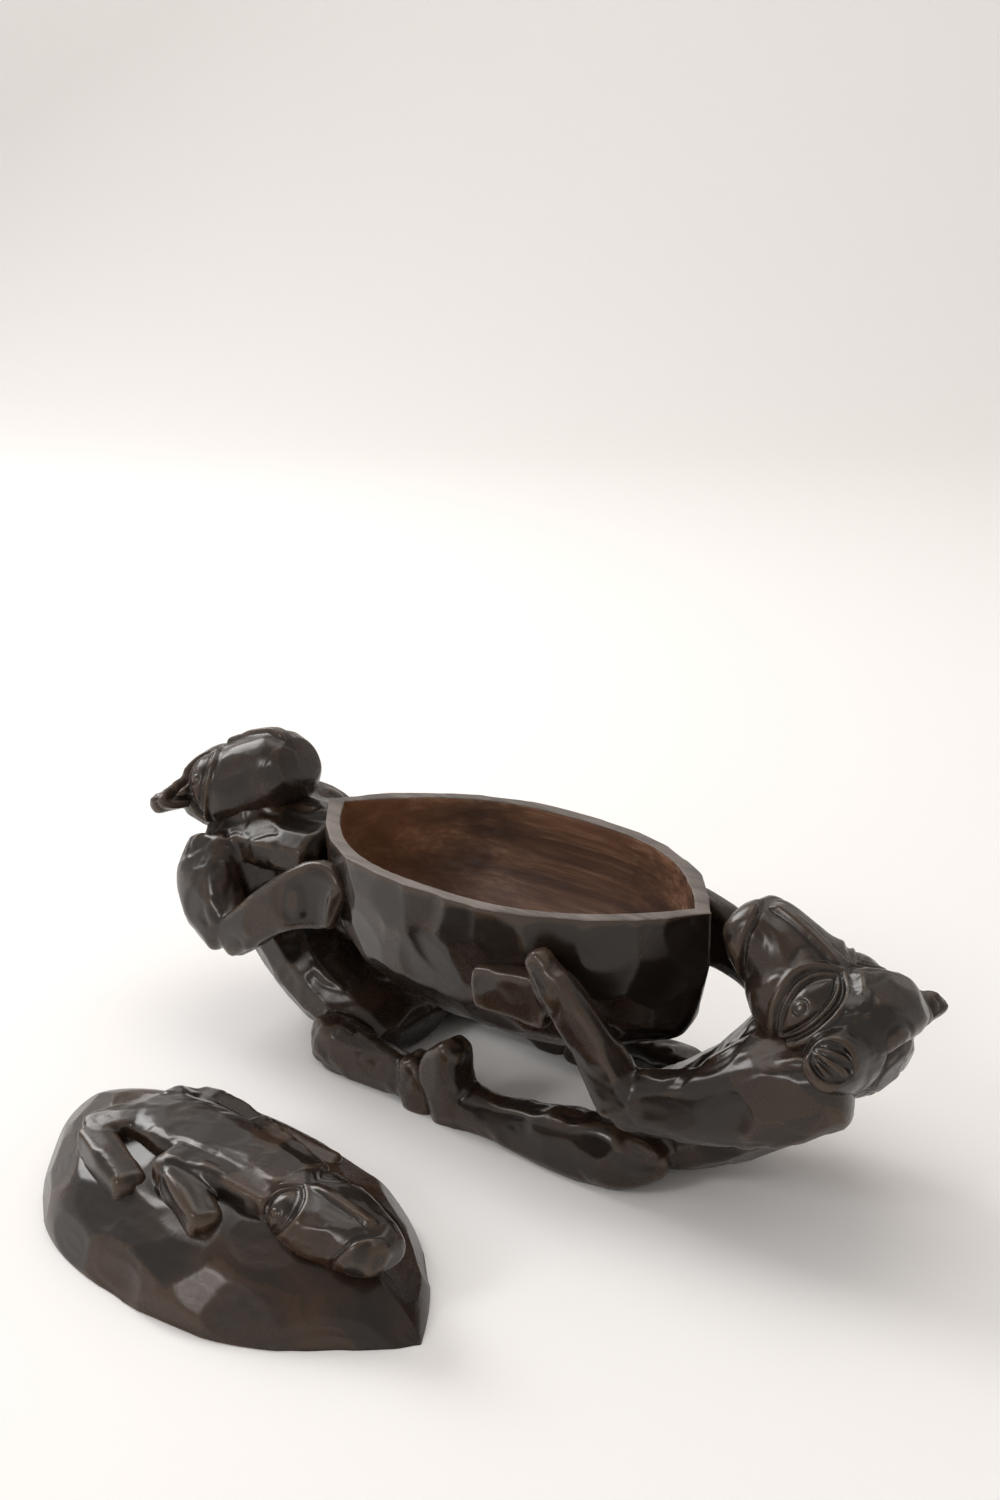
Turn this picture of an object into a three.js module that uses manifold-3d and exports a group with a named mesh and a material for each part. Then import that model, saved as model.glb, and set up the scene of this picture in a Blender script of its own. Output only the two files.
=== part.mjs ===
import * as THREE from 'three';
import Module from 'manifold-3d';
import { mergeVertices } from 'three/addons/utils/BufferGeometryUtils.js';

// Carved hardwood box: a lens-shaped bowl held up by two figures lying on their
// backs, feet to feet, and a domed lid with a small reclining figure on its crest.
// Millimetres, +Z up. Sizes are given from the middle of the bowl, and the origin ends
// up on the table, midway along and across bowl and lid. The bowl lies along X. The
// figure on the +X side is the "right" one, the other is the same figure turned half
// round, with its own shoulders and head.

// Bowl
const bowlLength = 210;
const bowlWidth = 111.4;
const rimHeight = 110;
const rimFullness = 2.7;
const keelHeight = 35;
const keelRise = 27;
const sternEdge = 20;
const sideFullness = 2.3;
const wallThickness = 5.6;
const tipThickness = 8.6;
const floorThickness = 9;

// Lid
const lidLength = 210;
const lidWidth = 111.4;
const lidCrest = 36;
const lidTailFullness = 6.5;
const lidHeadFullness = 3;
const lidWall = 5;
const lidTipWall = 9;
const lidOffset = 163.5;
const lidShift = -5;
const lidTurn = -4;

// Both figures, measured outward from the middle of the bowl, sideways, and up
const lowHipReach = 100;
const lowLegSpread = 40;
const lowLegHeight = 28;
const lowFootHeight = 39;
const highHipReach = 80;
const highLegSpread = 36;
const highLegHeight = 32;
const highFootHeight = 22;
const ankleHeight = 17;
const legWidth = 19;
const footLength = 15;
const shoulderSpread = 31;
const chestThickness = 48;
const headWidth = 54;
const headDepth = 38;
const muzzleWidth = 33;
const eyeLength = 26;
const earLength = 22;
const earSpread = 14;
const earHollow = 6;
const neckWidth = 37;
const restDepth = 0.8;
const armThickness = 18;
const upperArmDepth = 32;
const handLength = 28;
const handWidth = 22;

// Right figure
const rightPelvisReach = 64;
const rightShoulderReach = 64;
const rightShoulderHeight = 61;
const rightHeadReach = 185;
const rightHeadHeight = 80;
const rightHeadLength = 72;
const rightHeadTilt = 29;
const rightEarSetback = 5;
const rightBreastLength = 32;
const rightBreastHeight = 81;

// Left figure
const leftPelvisReach = 52;
const leftShoulderReach = 58;
const leftShoulderHeight = 76;
const leftHeadReach = 187;
const leftHeadHeight = 103;
const leftHeadLength = 67;
const leftHeadTilt = 22;
const leftEarSetback = 9;
const leftBreastLength = 62;
const leftBreastHeight = 101;

// Whittled ends, as shares of the section's half size
const endChamfer = 0.4;
const endTaper = 0.7;

// Clearance left between neighbouring forms
const gap = 0.3;

const wasm = await Module();
wasm.setup();

// Turns a closed geometry into a solid.
function toSolid(geometry) {
  const bare = geometry.index ? geometry.clone() : mergeVertices(geometry);
  for (const name of Object.keys(bare.attributes)) {
    if (name !== 'position') bare.deleteAttribute(name);
  }
  const merged = mergeVertices(bare, 1e-4);
  return new wasm.Manifold(new wasm.Mesh({
    numProp: 3,
    vertProperties: new Float32Array(merged.attributes.position.array),
    triVerts: new Uint32Array(merged.index.array),
  }));
}

// Turns a solid back into a geometry.
function toGeometry(solid) {
  const mesh = solid.getMesh();
  const geometry = new THREE.BufferGeometry();
  geometry.setAttribute('position', new THREE.BufferAttribute(new Float32Array(mesh.vertProperties), 3));
  geometry.setIndex(new THREE.BufferAttribute(new Uint32Array(mesh.triVerts), 1));
  geometry.computeVertexNormals();
  return geometry;
}

// Joins rings of equal count into one closed skin with a cap at each end.
function skin(rings) {
  const count = rings[0].length;
  const positions = [];
  const index = [];
  for (const ring of rings) {
    for (const p of ring) positions.push(p.x, p.y, p.z);
  }
  for (let r = 0; r + 1 < rings.length; r++) {
    for (let i = 0; i < count; i++) {
      const a = r * count + i;
      const b = r * count + (i + 1) % count;
      index.push(a, b, b + count, a, b + count, a + count);
    }
  }
  for (const [ring, start, flip] of [[rings[0], 0, true], [rings.at(-1), (rings.length - 1) * count, false]]) {
    const middle = new THREE.Vector3();
    for (const p of ring) middle.addScaledVector(p, 1 / count);
    const hub = positions.length / 3;
    positions.push(middle.x, middle.y, middle.z);
    for (let i = 0; i < count; i++) {
      const a = start + i;
      const b = start + (i + 1) % count;
      index.push(...(flip ? [hub, b, a] : [hub, a, b]));
    }
  }
  const geometry = new THREE.BufferGeometry();
  geometry.setAttribute('position', new THREE.Float32BufferAttribute(positions, 3));
  geometry.setIndex(index);
  return geometry;
}

// One whittled section: flats round an oval, squarer as the power grows.
function oval(sides, power) {
  const outline = [];
  for (let i = 0; i < sides; i++) {
    const angle = (i + 0.5) / sides * Math.PI * 2;
    const c = Math.cos(angle);
    const s = Math.sin(angle);
    const reach = 1 / (Math.abs(c) ** power + Math.abs(s) ** power) ** (1 / power);
    outline.push(new THREE.Vector2(c * reach, s * reach));
  }
  return outline;
}

// Lofts an outline along stations of [x, y, z, half width, half depth]. Width runs
// sideways (Y), depth square to it and to the path. Both ends are whittled off by the
// end chamfer. Growing by some millimetres gives the room that a neighbour leaves free.
function loft(stations, outline, steps, grow = 0) {
  const path = new THREE.CatmullRomCurve3(stations.map((s) => new THREE.Vector3(s[0], s[1], s[2])), false, 'centripetal');
  const sizes = new THREE.CatmullRomCurve3(stations.map((s) => new THREE.Vector3(s[3], s[4], 0)), false, 'centripetal');
  const length = path.getLength();
  const chamfer = (s) => Math.min(endChamfer * Math.min(s[3], s[4]) / length, 0.5 / steps);
  const places = [[0, endTaper], [chamfer(stations[0]), 1]];
  for (let i = 1; i < steps; i++) places.push([i / steps, 1]);
  places.push([1 - chamfer(stations.at(-1)), 1], [1, endTaper]);
  const rings = [];
  for (const [t, taper] of places) {
    const centre = path.getPoint(t);
    const along = path.getTangent(t);
    const side = new THREE.Vector3(0, 1, 0).addScaledVector(along, -along.y).normalize();
    const deep = new THREE.Vector3().crossVectors(along, side);
    const size = sizes.getPoint(t);
    if (t === 0) centre.addScaledVector(along, -grow);
    if (t === 1) centre.addScaledVector(along, grow);
    rings.push(outline.map((o) => centre.clone()
      .addScaledVector(side, o.x * (size.x * taper + grow))
      .addScaledVector(deep, o.y * (size.y * taper + grow))));
  }
  return toSolid(skin(rings));
}

// A rounded swelling about a centre: half sizes along an axis, sideways and square to both.
function knob(centre, axis, along, sideways, deep) {
  const stations = [-1, -0.7, 0, 0.7, 1].map((t) => {
    const p = centre.clone().addScaledVector(axis, t * along);
    const share = Math.sqrt(Math.max(0.12, 1 - t * t));
    return [p.x, p.y, p.z, sideways * share, deep * share];
  });
  return { outline: oval(8, 2), steps: 4, stations };
}

// Half width of the lens-shaped rim at a distance from the middle.
function lens(x, halfLength, halfWidth) {
  return halfWidth * Math.max(0, 1 - Math.abs(x / halfLength) ** rimFullness);
}

// Boat-shaped body under (or dome over) a lens: U-shaped ribs set along its length.
// depthAt gives how far a rib goes from the rim, and toward is -1 for down, +1 for up.
function hull(halfLength, halfWidth, rimZ, toward, fullness, depthAt, extra = 0) {
  const ribs = 26;
  const parts = 14;
  const rings = [];
  for (let i = 0; i <= ribs; i++) {
    const turn = -Math.cos(Math.PI * i / ribs);
    const x = turn * halfLength * (1 - 1e-4);
    const half = lens(x, halfLength, halfWidth);
    const deep = depthAt(x);
    const ring = [];
    for (let j = 0; j <= parts; j++) {
      const angle = Math.PI * j / parts;
      const across = Math.sign(Math.cos(angle)) * Math.abs(Math.cos(angle)) ** (2 / fullness);
      const down = Math.sin(angle) ** (2 / fullness);
      ring.push(new THREE.Vector3(x, across * half, rimZ + toward * down * deep));
    }
    if (extra > 0) {
      ring.push(new THREE.Vector3(x, -half, rimZ - toward * extra));
      ring.push(new THREE.Vector3(x, half, rimZ - toward * extra));
    }
    rings.push(toward < 0 ? ring.reverse() : ring);
  }
  return toSolid(skin(rings));
}

// Depth of the bowl's ribs: deepest in the middle, rising to an upright stern edge.
function bowlDepth(grow) {
  const full = rimHeight - keelHeight;
  return (x) => {
    const t = Math.min(1, Math.abs(x) / (bowlLength / 2));
    const rise = keelRise * t ** 3;
    const stern = (full - keelRise - sternEdge) * Math.max(0, (t - 0.86) / 0.14) ** 2;
    return full - rise - stern + grow;
  };
}

function bowlBody(grow) {
  return hull(bowlLength / 2 + grow, bowlWidth / 2 + grow, rimHeight, -1, sideFullness, bowlDepth(grow), grow);
}

function bowlHollow() {
  const halfLength = bowlLength / 2 - tipThickness;
  const deep = bowlDepth(-floorThickness);
  return hull(halfLength, bowlWidth / 2 - wallThickness, rimHeight, -1, sideFullness, (x) => {
    return deep(x * bowlLength / 2 / halfLength);
  }, 2);
}

// The figure, in its own frame: X outward along the bowl, Z up, feet at the middle.
// One arm lies low along the bowl's side, the other clasps the bowl's end high up.
function figure(size) {
  const tip = bowlLength / 2;
  const halfLeg = legWidth / 2;
  const chest = chestThickness / 2;
  const shoulder = tip + size.shoulderReach;
  const top = size.shoulderHeight;
  const neck = size.headHeight - headDepth * 0.1;
  const forms = [];

  forms.push({
    name: 'torso',
    outline: oval(12, 2.6),
    steps: 14,
    stations: [
      [size.pelvisReach, 0, 10 - restDepth, 24, 10],
      [size.pelvisReach + 20, 0, 16 - restDepth, 32, 16],
      [tip - 4, 0, top * 0.34, 31, chest * 0.86],
      [tip + 22, 0, top * 0.62, 28, chest * 0.98],
      [shoulder - 26, 0, top * 0.88, shoulderSpread, chest * 1.04],
      [shoulder - 16, 0, top + 10, shoulderSpread * 0.9, chest * 0.9],
    ],
    joined: [{
      outline: oval(10, 2.2),
      steps: 3,
      stations: [
        [shoulder - 20, 0, top - 4, neckWidth / 2 + 8, chest],
        [shoulder - 15, 0, (top + neck) / 2 + 2, neckWidth / 2 + 6, chest * 1.02],
        [shoulder - 12, 0, neck + 4, neckWidth / 2 + 2, chest * 0.96],
      ],
    }, {
      outline: oval(10, 2.6),
      steps: 3,
      stations: [
        [shoulder - 4, 0, size.breastHeight - 17, shoulderSpread * 0.9, 15],
        [shoulder - 8 - size.breastLength / 2, 0, size.breastHeight - 14, shoulderSpread, 14],
        [shoulder - 6 - size.breastLength, 0, size.breastHeight - 13, shoulderSpread * 0.92, 12],
      ],
    }],
  });

  // Head: cranium, brow, cheeks and muzzle along a line that rises toward the bowl.
  const tilt = THREE.MathUtils.degToRad(size.headTilt);
  const axis = new THREE.Vector3(-Math.cos(tilt), 0, Math.sin(tilt));
  const crown = new THREE.Vector3(size.headReach, 0, size.headHeight);
  forms.push(head(crown, axis, size.headLength, 1, size.earSetback));

  // Low arm: elbow by the hip, forearm up the bowl's side, hand flat along the wall.
  const low = -shoulderSpread;
  const elbow = [tip - 14, -lowLegSpread - 4, lowLegHeight + 9];
  const wrist = [tip - 51, low - 21, rimHeight - 13];
  forms.push({
    name: 'low_upper_arm',
    outline: oval(8, 2.4),
    steps: 5,
    stations: [
      [shoulder + 8, low + 1, top + 7, armThickness * 0.72, upperArmDepth * 0.5],
      [shoulder - 14, low - 5, top - 1, armThickness * 0.7, upperArmDepth * 0.56],
      [shoulder - 40, low - 9, top - 12, armThickness * 0.56, upperArmDepth * 0.46],
      [...elbow, armThickness * 0.5, armThickness * 0.64],
    ],
  });
  forms.push({
    name: 'low_forearm',
    outline: oval(8, 2.6),
    steps: 4,
    stations: [
      [elbow[0] + 4, elbow[1] - 2, elbow[2] - 2, armThickness * 0.46, armThickness * 0.42],
      [(elbow[0] + wrist[0]) / 2 + 2, (elbow[1] + wrist[1]) / 2 - 4, (elbow[2] + wrist[2]) / 2,
        armThickness * 0.44, armThickness * 0.42],
      [...wrist, armThickness * 0.34, armThickness * 0.36],
    ],
  });
  forms.push({
    name: 'low_hand',
    outline: oval(8, 3.2),
    steps: 3,
    stations: [
      [wrist[0] + 5, wrist[1] + 2, wrist[2] - handWidth, 6, handWidth * 0.46],
      [wrist[0] + 5 - handLength * 0.5, wrist[1] + 0.5, wrist[2] - handWidth, 6, handWidth * 0.46],
      [wrist[0] + 5 - handLength, wrist[1], wrist[2] - handWidth - 1, 5.5, handWidth * 0.42],
    ],
  });

  // High arm: elbow well out, forearm and hand clasping the end of the bowl.
  const highElbow = [tip + 22, shoulderSpread + 11, (top + lowLegHeight) / 2 - 1];
  const highWrist = [tip - 25, 13 - low, rimHeight - 29];
  forms.push({
    name: 'high_upper_arm',
    outline: oval(8, 2.4),
    steps: 4,
    stations: [
      [shoulder - 11, -low - 7, top + 16, armThickness * 0.75, upperArmDepth * 0.54],
      [shoulder - 9, -low + 1, top - 3, armThickness * 0.66, upperArmDepth * 0.46],
      [...highElbow, armThickness * 0.5, armThickness * 0.62],
    ],
  });
  forms.push({
    name: 'high_forearm',
    outline: oval(8, 2.6),
    steps: 4,
    stations: [
      [highElbow[0] + 4, highElbow[1] - 1, highElbow[2] - 3, armThickness * 0.5, armThickness * 0.56],
      [(highElbow[0] + highWrist[0]) / 2, (highElbow[1] + highWrist[1]) / 2, (highElbow[2] + highWrist[2]) / 2,
        armThickness * 0.48, armThickness * 0.62],
      [...highWrist, armThickness * 0.42, handWidth * 0.52],
    ],
  });
  forms.push({
    name: 'high_hand',
    outline: oval(8, 3),
    steps: 3,
    stations: [
      [highWrist[0] + 2, highWrist[1], highWrist[2] - 0.5, armThickness * 0.42, handWidth * 0.52],
      [highWrist[0] - handLength * 0.5, highWrist[1] + 3, highWrist[2] - 1, armThickness * 0.36, handWidth * 0.52],
      [highWrist[0] - handLength, highWrist[1] + 5, highWrist[2] - 2, armThickness * 0.3, handWidth * 0.46],
    ],
  });

  // Legs: flat on the table, with an upright foot whose sole meets the other figure's.
  for (const [tag, y, hip, height, foot] of [
    ['low_side', -lowLegSpread, lowHipReach, lowLegHeight, lowFootHeight],
    ['high_side', highLegSpread, highHipReach, highLegHeight, highFootHeight],
  ]) {
    forms.push({
      name: `${tag}_leg`,
      outline: oval(8, 2.4),
      steps: 8,
      stations: [
        [hip, y * 0.93, height * 0.48, halfLeg * 0.9, height * 0.4],
        [hip - 12, y, height * 0.48, halfLeg * 1.2, height * 0.52],
        [hip * 0.62, y * 1.04, height * 0.43, halfLeg * 1.05, height * 0.46],
        [hip * 0.32, y, ankleHeight * 0.5, halfLeg * 0.78, ankleHeight * 0.54],
        [footLength * 0.8, y, ankleHeight * 0.5, halfLeg * 0.82, ankleHeight * 0.54],
      ],
    });
    forms.push({
      name: `${tag}_foot`,
      outline: oval(8, 3),
      steps: 4,
      stations: [
        [footLength * 0.62, y, -restDepth, halfLeg * 0.9, footLength * 0.62],
        [footLength * 0.4, y * 1.06, foot * 0.5, halfLeg, footLength * 0.6],
        [footLength * 0.7, y * 1.14, foot, halfLeg * 0.85, footLength * 0.42],
      ],
    });
  }
  return forms;
}

// A head from the back of the cranium along an axis to the muzzle, with bulging
// almond eyes and, where they have a place behind the crown, two scooped ears.
function head(start, axis, length, scale, earBack, flatness = 1) {
  const half = headWidth / 2 * scale;
  const deep = headDepth / 2 * scale * flatness;
  const snout = muzzleWidth / 2 * scale;
  const up = new THREE.Vector3().crossVectors(axis, new THREE.Vector3(0, 1, 0));
  const upward = up.z < 0 ? up.negate() : up;
  const at = (share, drop, aside = 0) => start.clone()
    .addScaledVector(axis, share * length)
    .addScaledVector(upward, -drop * scale)
    .add(new THREE.Vector3(0, aside, 0));
  const joined = [];
  const cut = [];
  for (const side of [-1, 1]) {
    const eyeAxis = axis.clone().multiplyScalar(0.9).add(new THREE.Vector3(0, side * 0.42, 0)).normalize();
    const eye = at(0.42, -deep / scale * 0.28, side * half * 0.62);
    joined.push(knob(eye, eyeAxis, eyeLength / 2 * scale, 6 * scale, 5 * scale));
    if (earBack === null) continue;
    const ear = at(earBack / length, 1, side * half * 0.86);
    joined.push(knob(ear, axis, earLength / 2, earSpread + half * 0.12, 7.5));
    const scoop = ear.clone().addScaledVector(upward, 8).add(new THREE.Vector3(0, side * earHollow * 0.7, 0));
    cut.push(knob(scoop, axis, earLength / 2 - 3, earSpread - 3, earHollow + 3));
  }
  return {
    name: 'head',
    outline: faceOutline(axis.x < 0 ? -1 : 1),
    steps: 14,
    stations: [
      [0, 3, 0.55, 0.5],
      [0.1, 4.5, 0.84, 0.86],
      [0.3, 7, 0.98, 0.98],
      [0.5, 7, 1, 0.98],
      [0.62, 5.5, 0.86, 0.94],
      [0.72, 3.5, 0.65, 0.86],
      [0.88, 1, 0.61, 0.66],
      [1, 0, 0.48, 0.46],
    ].map(([share, drop, wide, tall]) => {
      const width = share > 0.65 ? snout * wide / 0.61 : half * wide;
      return [...at(share, drop).toArray(), width, deep * tall];
    }),
    joined,
    cut,
  };
}

// Cross-section of a head: a flat nose ridge, sloping face, full cheeks, narrow jaw.
function faceOutline(facing) {
  const half = [[0.22, 1], [0.8, 0.74], [1, 0.1], [0.93, -0.55], [0.5, -1]];
  const one = half.map(([x, y]) => new THREE.Vector2(x, y * facing));
  const other = half.map(([x, y]) => new THREE.Vector2(-x, y * facing)).reverse();
  return facing < 0 ? [...one, ...other] : [...other, ...one].reverse();
}

function solidOf(form, grow) {
  let solid = loft(form.stations, form.outline, form.steps, grow);
  for (const part of form.joined ?? []) {
    solid = solid.add(loft(part.stations, part.outline, part.steps, grow));
  }
  if (grow > 0) return solid;
  for (const part of form.cut ?? []) {
    solid = solid.subtract(loft(part.stations, part.outline, part.steps));
  }
  return solid;
}

const darkWood = { color: 0x2a211c, roughness: 0.42, metalness: 0 };
const object = new THREE.Group();
const floorSlab = new THREE.BoxGeometry(1200, 1200, 200);
floorSlab.translate(0, 0, -100);
const belowTable = toSolid(floorSlab);

function addMesh(parent, name, solid, colour = darkWood.color) {
  const material = new THREE.MeshStandardMaterial({ ...darkWood, color: colour });
  const mesh = new THREE.Mesh(toGeometry(solid), material);
  mesh.name = name;
  parent.add(mesh);
  return mesh;
}

// Bowl
const bowl = bowlBody(0).subtract(bowlHollow());
addMesh(object, 'bowl', bowl, 0x3a2c24);

// Figures: each form gives way to the bowl and to the forms made before it.
const rightSize = {
  pelvisReach: rightPelvisReach,
  shoulderReach: rightShoulderReach,
  shoulderHeight: rightShoulderHeight,
  headReach: rightHeadReach,
  headHeight: rightHeadHeight,
  headLength: rightHeadLength,
  headTilt: rightHeadTilt,
  earSetback: rightEarSetback,
  breastLength: rightBreastLength,
  breastHeight: rightBreastHeight,
};
const leftSize = {
  pelvisReach: leftPelvisReach,
  shoulderReach: leftShoulderReach,
  shoulderHeight: leftShoulderHeight,
  headReach: leftHeadReach,
  headHeight: leftHeadHeight,
  headLength: leftHeadLength,
  headTilt: leftHeadTilt,
  earSetback: leftEarSetback,
  breastLength: leftBreastLength,
  breastHeight: leftBreastHeight,
};
for (const [label, turn, size] of [['right', 0, rightSize], ['left', Math.PI, leftSize]]) {
  const group = new THREE.Group();
  group.rotation.z = turn;
  object.add(group);
  const otherHalf = new THREE.BoxGeometry(400, 1200, 1200);
  otherHalf.translate(-200 + gap / 2, 0, 0);
  let taken = bowlBody(gap).add(belowTable).add(toSolid(otherHalf));
  for (const form of figure(size)) {
    const solid = solidOf(form, 0).subtract(taken);
    addMesh(group, `${label}_figure_${form.name}`, solid);
    taken = taken.add(solidOf(form, gap)).add(solid);
  }
}

// Lid: a dome over the same lens as the bowl's rim, hollow underneath.
const lidGroup = new THREE.Group();
lidGroup.position.set(lidShift, -lidOffset, 0);
lidGroup.rotation.z = THREE.MathUtils.degToRad(lidTurn);
object.add(lidGroup);

function lidHeight(x, drop) {
  const t = Math.min(1, Math.abs(x) / (lidLength / 2));
  return (lidCrest - drop) * Math.max(0.02, 1 - t ** (x < 0 ? lidTailFullness : lidHeadFullness));
}

function lidDome(grow) {
  return hull(lidLength / 2 + grow, lidWidth / 2 + grow, 0, 1, 2, (x) => lidHeight(x, 0) + grow);
}

const lidHollow = hull(lidLength / 2 - lidTipWall, lidWidth / 2 - lidWall, 0, 1, 2, (x) => {
  return lidHeight(x * lidLength / (lidLength - 2 * lidTipWall), lidWall);
}, 2);
addMesh(lidGroup, 'lid_shell', lidDome(0).subtract(lidHollow));

// Relief figure on the lid, carved in one with it: trunk, head and four limbs.
function lidFigure() {
  const top = lidCrest;
  const forms = [
    {
      name: 'trunk',
      outline: oval(10, 3),
      steps: 8,
      stations: [
        [-60, 0, top - 8, 11, 5],
        [-42, 0, top - 3, 15, 8],
        [-18, 0, top - 1, 18, 8],
        [12, 0, top, 13, 7.5],
        [36, 0, top - 1, 14, 8],
      ],
    },
    head(new THREE.Vector3(34, 0, top + 1), new THREE.Vector3(0.995, 0, -0.1), 61, 0.68, null, 0.76),
  ];
  for (const [tag, side, tuck, sink] of [['near', -1, 0, 0], ['far', 1, 1, 3]]) {
    forms.push({
      name: `${tag}_upper_arm`,
      outline: oval(8, 2.8),
      steps: 3,
      stations: [
        [37, side * 13, top - 2, 4.5, 6],
        [16, side * 15, top, 4.5, 6],
        [-5, side * 20, top + 1 - sink, 5.5, 6],
      ],
    });
    forms.push({
      name: `${tag}_forearm`,
      outline: oval(8, 2.8),
      steps: 3,
      stations: [
        [-7, side * 22, top - sink, 6, 6],
        [10, side * 26, top - 3 - sink * 1.3, 6, 6],
        [28, side * 31, top - 8 - sink * 1.3, 5.5, 6],
      ],
    });
    forms.push({
      name: `${tag}_thigh`,
      outline: oval(8, 3),
      steps: 3,
      stations: [
        [-43, side * 8, top - 2, 7, 7],
        [-49 + 4 * tuck, side * (16 - 2 * tuck), top - 3 - sink * 0.3, 6.5, 7],
        [-53 + 7 * tuck, side * (24 - 4 * tuck), top - 5 - sink * 0.5, 6, 7],
      ],
    });
    forms.push({
      name: `${tag}_shin`,
      outline: oval(8, 3),
      steps: 3,
      stations: [
        [-48 + 4 * tuck, side * (26 - 4 * tuck), top - 6, 6.5, 7],
        [-32 + 4 * tuck, side * (30 - 7 * tuck), top - 7 + sink, 6, 7],
        [-15 + 4 * tuck, side * (34 - 10 * tuck), top - 9 + sink, 5.5, 6],
      ],
    });
  }
  return forms;
}

let lidTaken = lidDome(gap);
for (const form of lidFigure()) {
  const solid = solidOf(form, 0).subtract(lidTaken);
  addMesh(lidGroup, `lid_figure_${form.name}`, solid);
  lidTaken = lidTaken.add(solidOf(form, gap)).add(solid);
}

// The origin goes to the table under the middle of everything, lid included.
const middle = new THREE.Box3().setFromObject(object, true).getCenter(new THREE.Vector3());
object.position.set(-middle.x, -middle.y, 0);

export default object;
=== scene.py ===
# Carved wooden box on two bearers: the look of the wood, cut with a knife and waxed.
import bpy
import bmesh
import math
import numpy as np
from mathutils import Matrix, Vector
from mathutils.bvhtree import BVHTree


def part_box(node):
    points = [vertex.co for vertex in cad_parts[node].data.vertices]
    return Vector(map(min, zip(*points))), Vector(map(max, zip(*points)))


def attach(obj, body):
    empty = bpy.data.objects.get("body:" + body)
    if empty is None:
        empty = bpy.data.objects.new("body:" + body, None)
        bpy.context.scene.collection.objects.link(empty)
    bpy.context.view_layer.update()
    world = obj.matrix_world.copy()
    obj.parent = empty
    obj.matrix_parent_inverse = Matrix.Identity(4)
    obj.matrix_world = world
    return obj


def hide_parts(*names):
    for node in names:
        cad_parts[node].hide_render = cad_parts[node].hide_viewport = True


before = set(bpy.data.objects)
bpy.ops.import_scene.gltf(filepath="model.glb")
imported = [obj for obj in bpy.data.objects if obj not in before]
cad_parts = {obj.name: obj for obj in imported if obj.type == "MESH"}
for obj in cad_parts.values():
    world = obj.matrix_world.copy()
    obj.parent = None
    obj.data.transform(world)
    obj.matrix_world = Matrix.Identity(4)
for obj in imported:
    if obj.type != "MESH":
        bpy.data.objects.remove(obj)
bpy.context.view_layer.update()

mm = 0.001
tiny = 1e-9          # keeps a length of nought out of a division
plainTone = 0.5      # tone of a place that no cut reached, between 0 and 1
bowlLow, bowlHigh = (np.array(corner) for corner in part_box("bowl"))
lidLow, lidHigh = (np.array(corner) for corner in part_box("lid_shell"))
bowlMiddle = Vector(((bowlLow[0] + bowlHigh[0]) / 2, (bowlLow[1] + bowlHigh[1]) / 2, 0))
lidMiddle = Vector(((lidLow[0] + lidHigh[0]) / 2, (lidLow[1] + lidHigh[1]) / 2, 0))


# Node trees are written as Python expressions: a Tree adds nodes, a Wire is one of their outputs.
class Tree:
    def __init__(self, tree):
        self.tree = tree

    # one node: its type, the settings that are set first, then its sockets by name or number
    def add(self, kind, settings=None, inputs=None, output=0):
        node = self.tree.nodes.new(kind)
        for key, value in (settings or {}).items():
            setattr(node, key, value)
        for key, value in (inputs or {}).items():
            self.plug(self.pick(node.inputs, key), value)
        return Wire(self, node, self.pick(node.outputs, output)) if len(node.outputs) else node

    def pick(self, sockets, key):
        shown = [s for s in sockets if s.enabled]
        return shown[key] if isinstance(key, int) else next(s for s in shown if s.name == key)

    def plug(self, socket, value):
        if isinstance(value, Wire):
            self.tree.links.new(value.socket, socket)
        else:
            socket.default_value = value


class Wire:
    def __init__(self, owner, node, socket):
        self.owner, self.node, self.socket = owner, node, socket

    def maths(self, operation, *values):
        return self.owner.add("ShaderNodeMath", {"operation": operation}, dict(enumerate(values)))

    def vector(self, operation, *values):
        return self.owner.add("ShaderNodeVectorMath", {"operation": operation}, dict(enumerate(values)))

    # another output of the same node
    def other(self, name):
        return Wire(self.owner, self.node, self.owner.pick(self.node.outputs, name))

    def __add__(self, value):
        return self.maths("ADD", self, value)

    def __sub__(self, value):
        return self.maths("SUBTRACT", self, value)

    def __rsub__(self, value):
        return self.maths("SUBTRACT", value, self)

    def __mul__(self, value):
        return self.maths("MULTIPLY", self, value)

    def __truediv__(self, value):
        return self.maths("DIVIDE", self, value)

    def __rtruediv__(self, value):
        return self.maths("DIVIDE", value, self)

    __radd__ = __add__
    __rmul__ = __mul__

    # vectors
    def times(self, value):
        return self.vector("MULTIPLY", self, value)

    def unit(self):
        return self.vector("NORMALIZE", self)


def startMaterial(name):
    material = bpy.data.materials.new(name)
    material.use_nodes = True
    return material, Tree(material.node_tree), material.node_tree.nodes["Principled BSDF"]


def mixed(tree, share, first, second):
    return tree.add("ShaderNodeMix", {"data_type": "RGBA"}, {"Factor": share, "A": first, "B": second})


# a noise, from its scale along X, Y and Z, its detail, roughness and warp
def noise(tree, place, look):
    scale, detail, rough, warp = look
    return tree.add("ShaderNodeTexNoise", None, {
        "Vector": place.times(scale), "Scale": 1.0, "Detail": detail, "Roughness": rough, "Distortion": warp})


def ramp(tree, value, low, high):
    return tree.add("ShaderNodeMapRange", {"interpolation_type": "SMOOTHSTEP"}, {
        "Value": value, "From Min": low, "From Max": high, "To Min": 0.0, "To Max": 1.0})


# the sum of some values, each by its weight
def weighed(weights, *values):
    total = values[0] * weights[0]
    for weight, value in zip(weights[1:], values[1:]):
        total = total + value * weight
    return total


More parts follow.
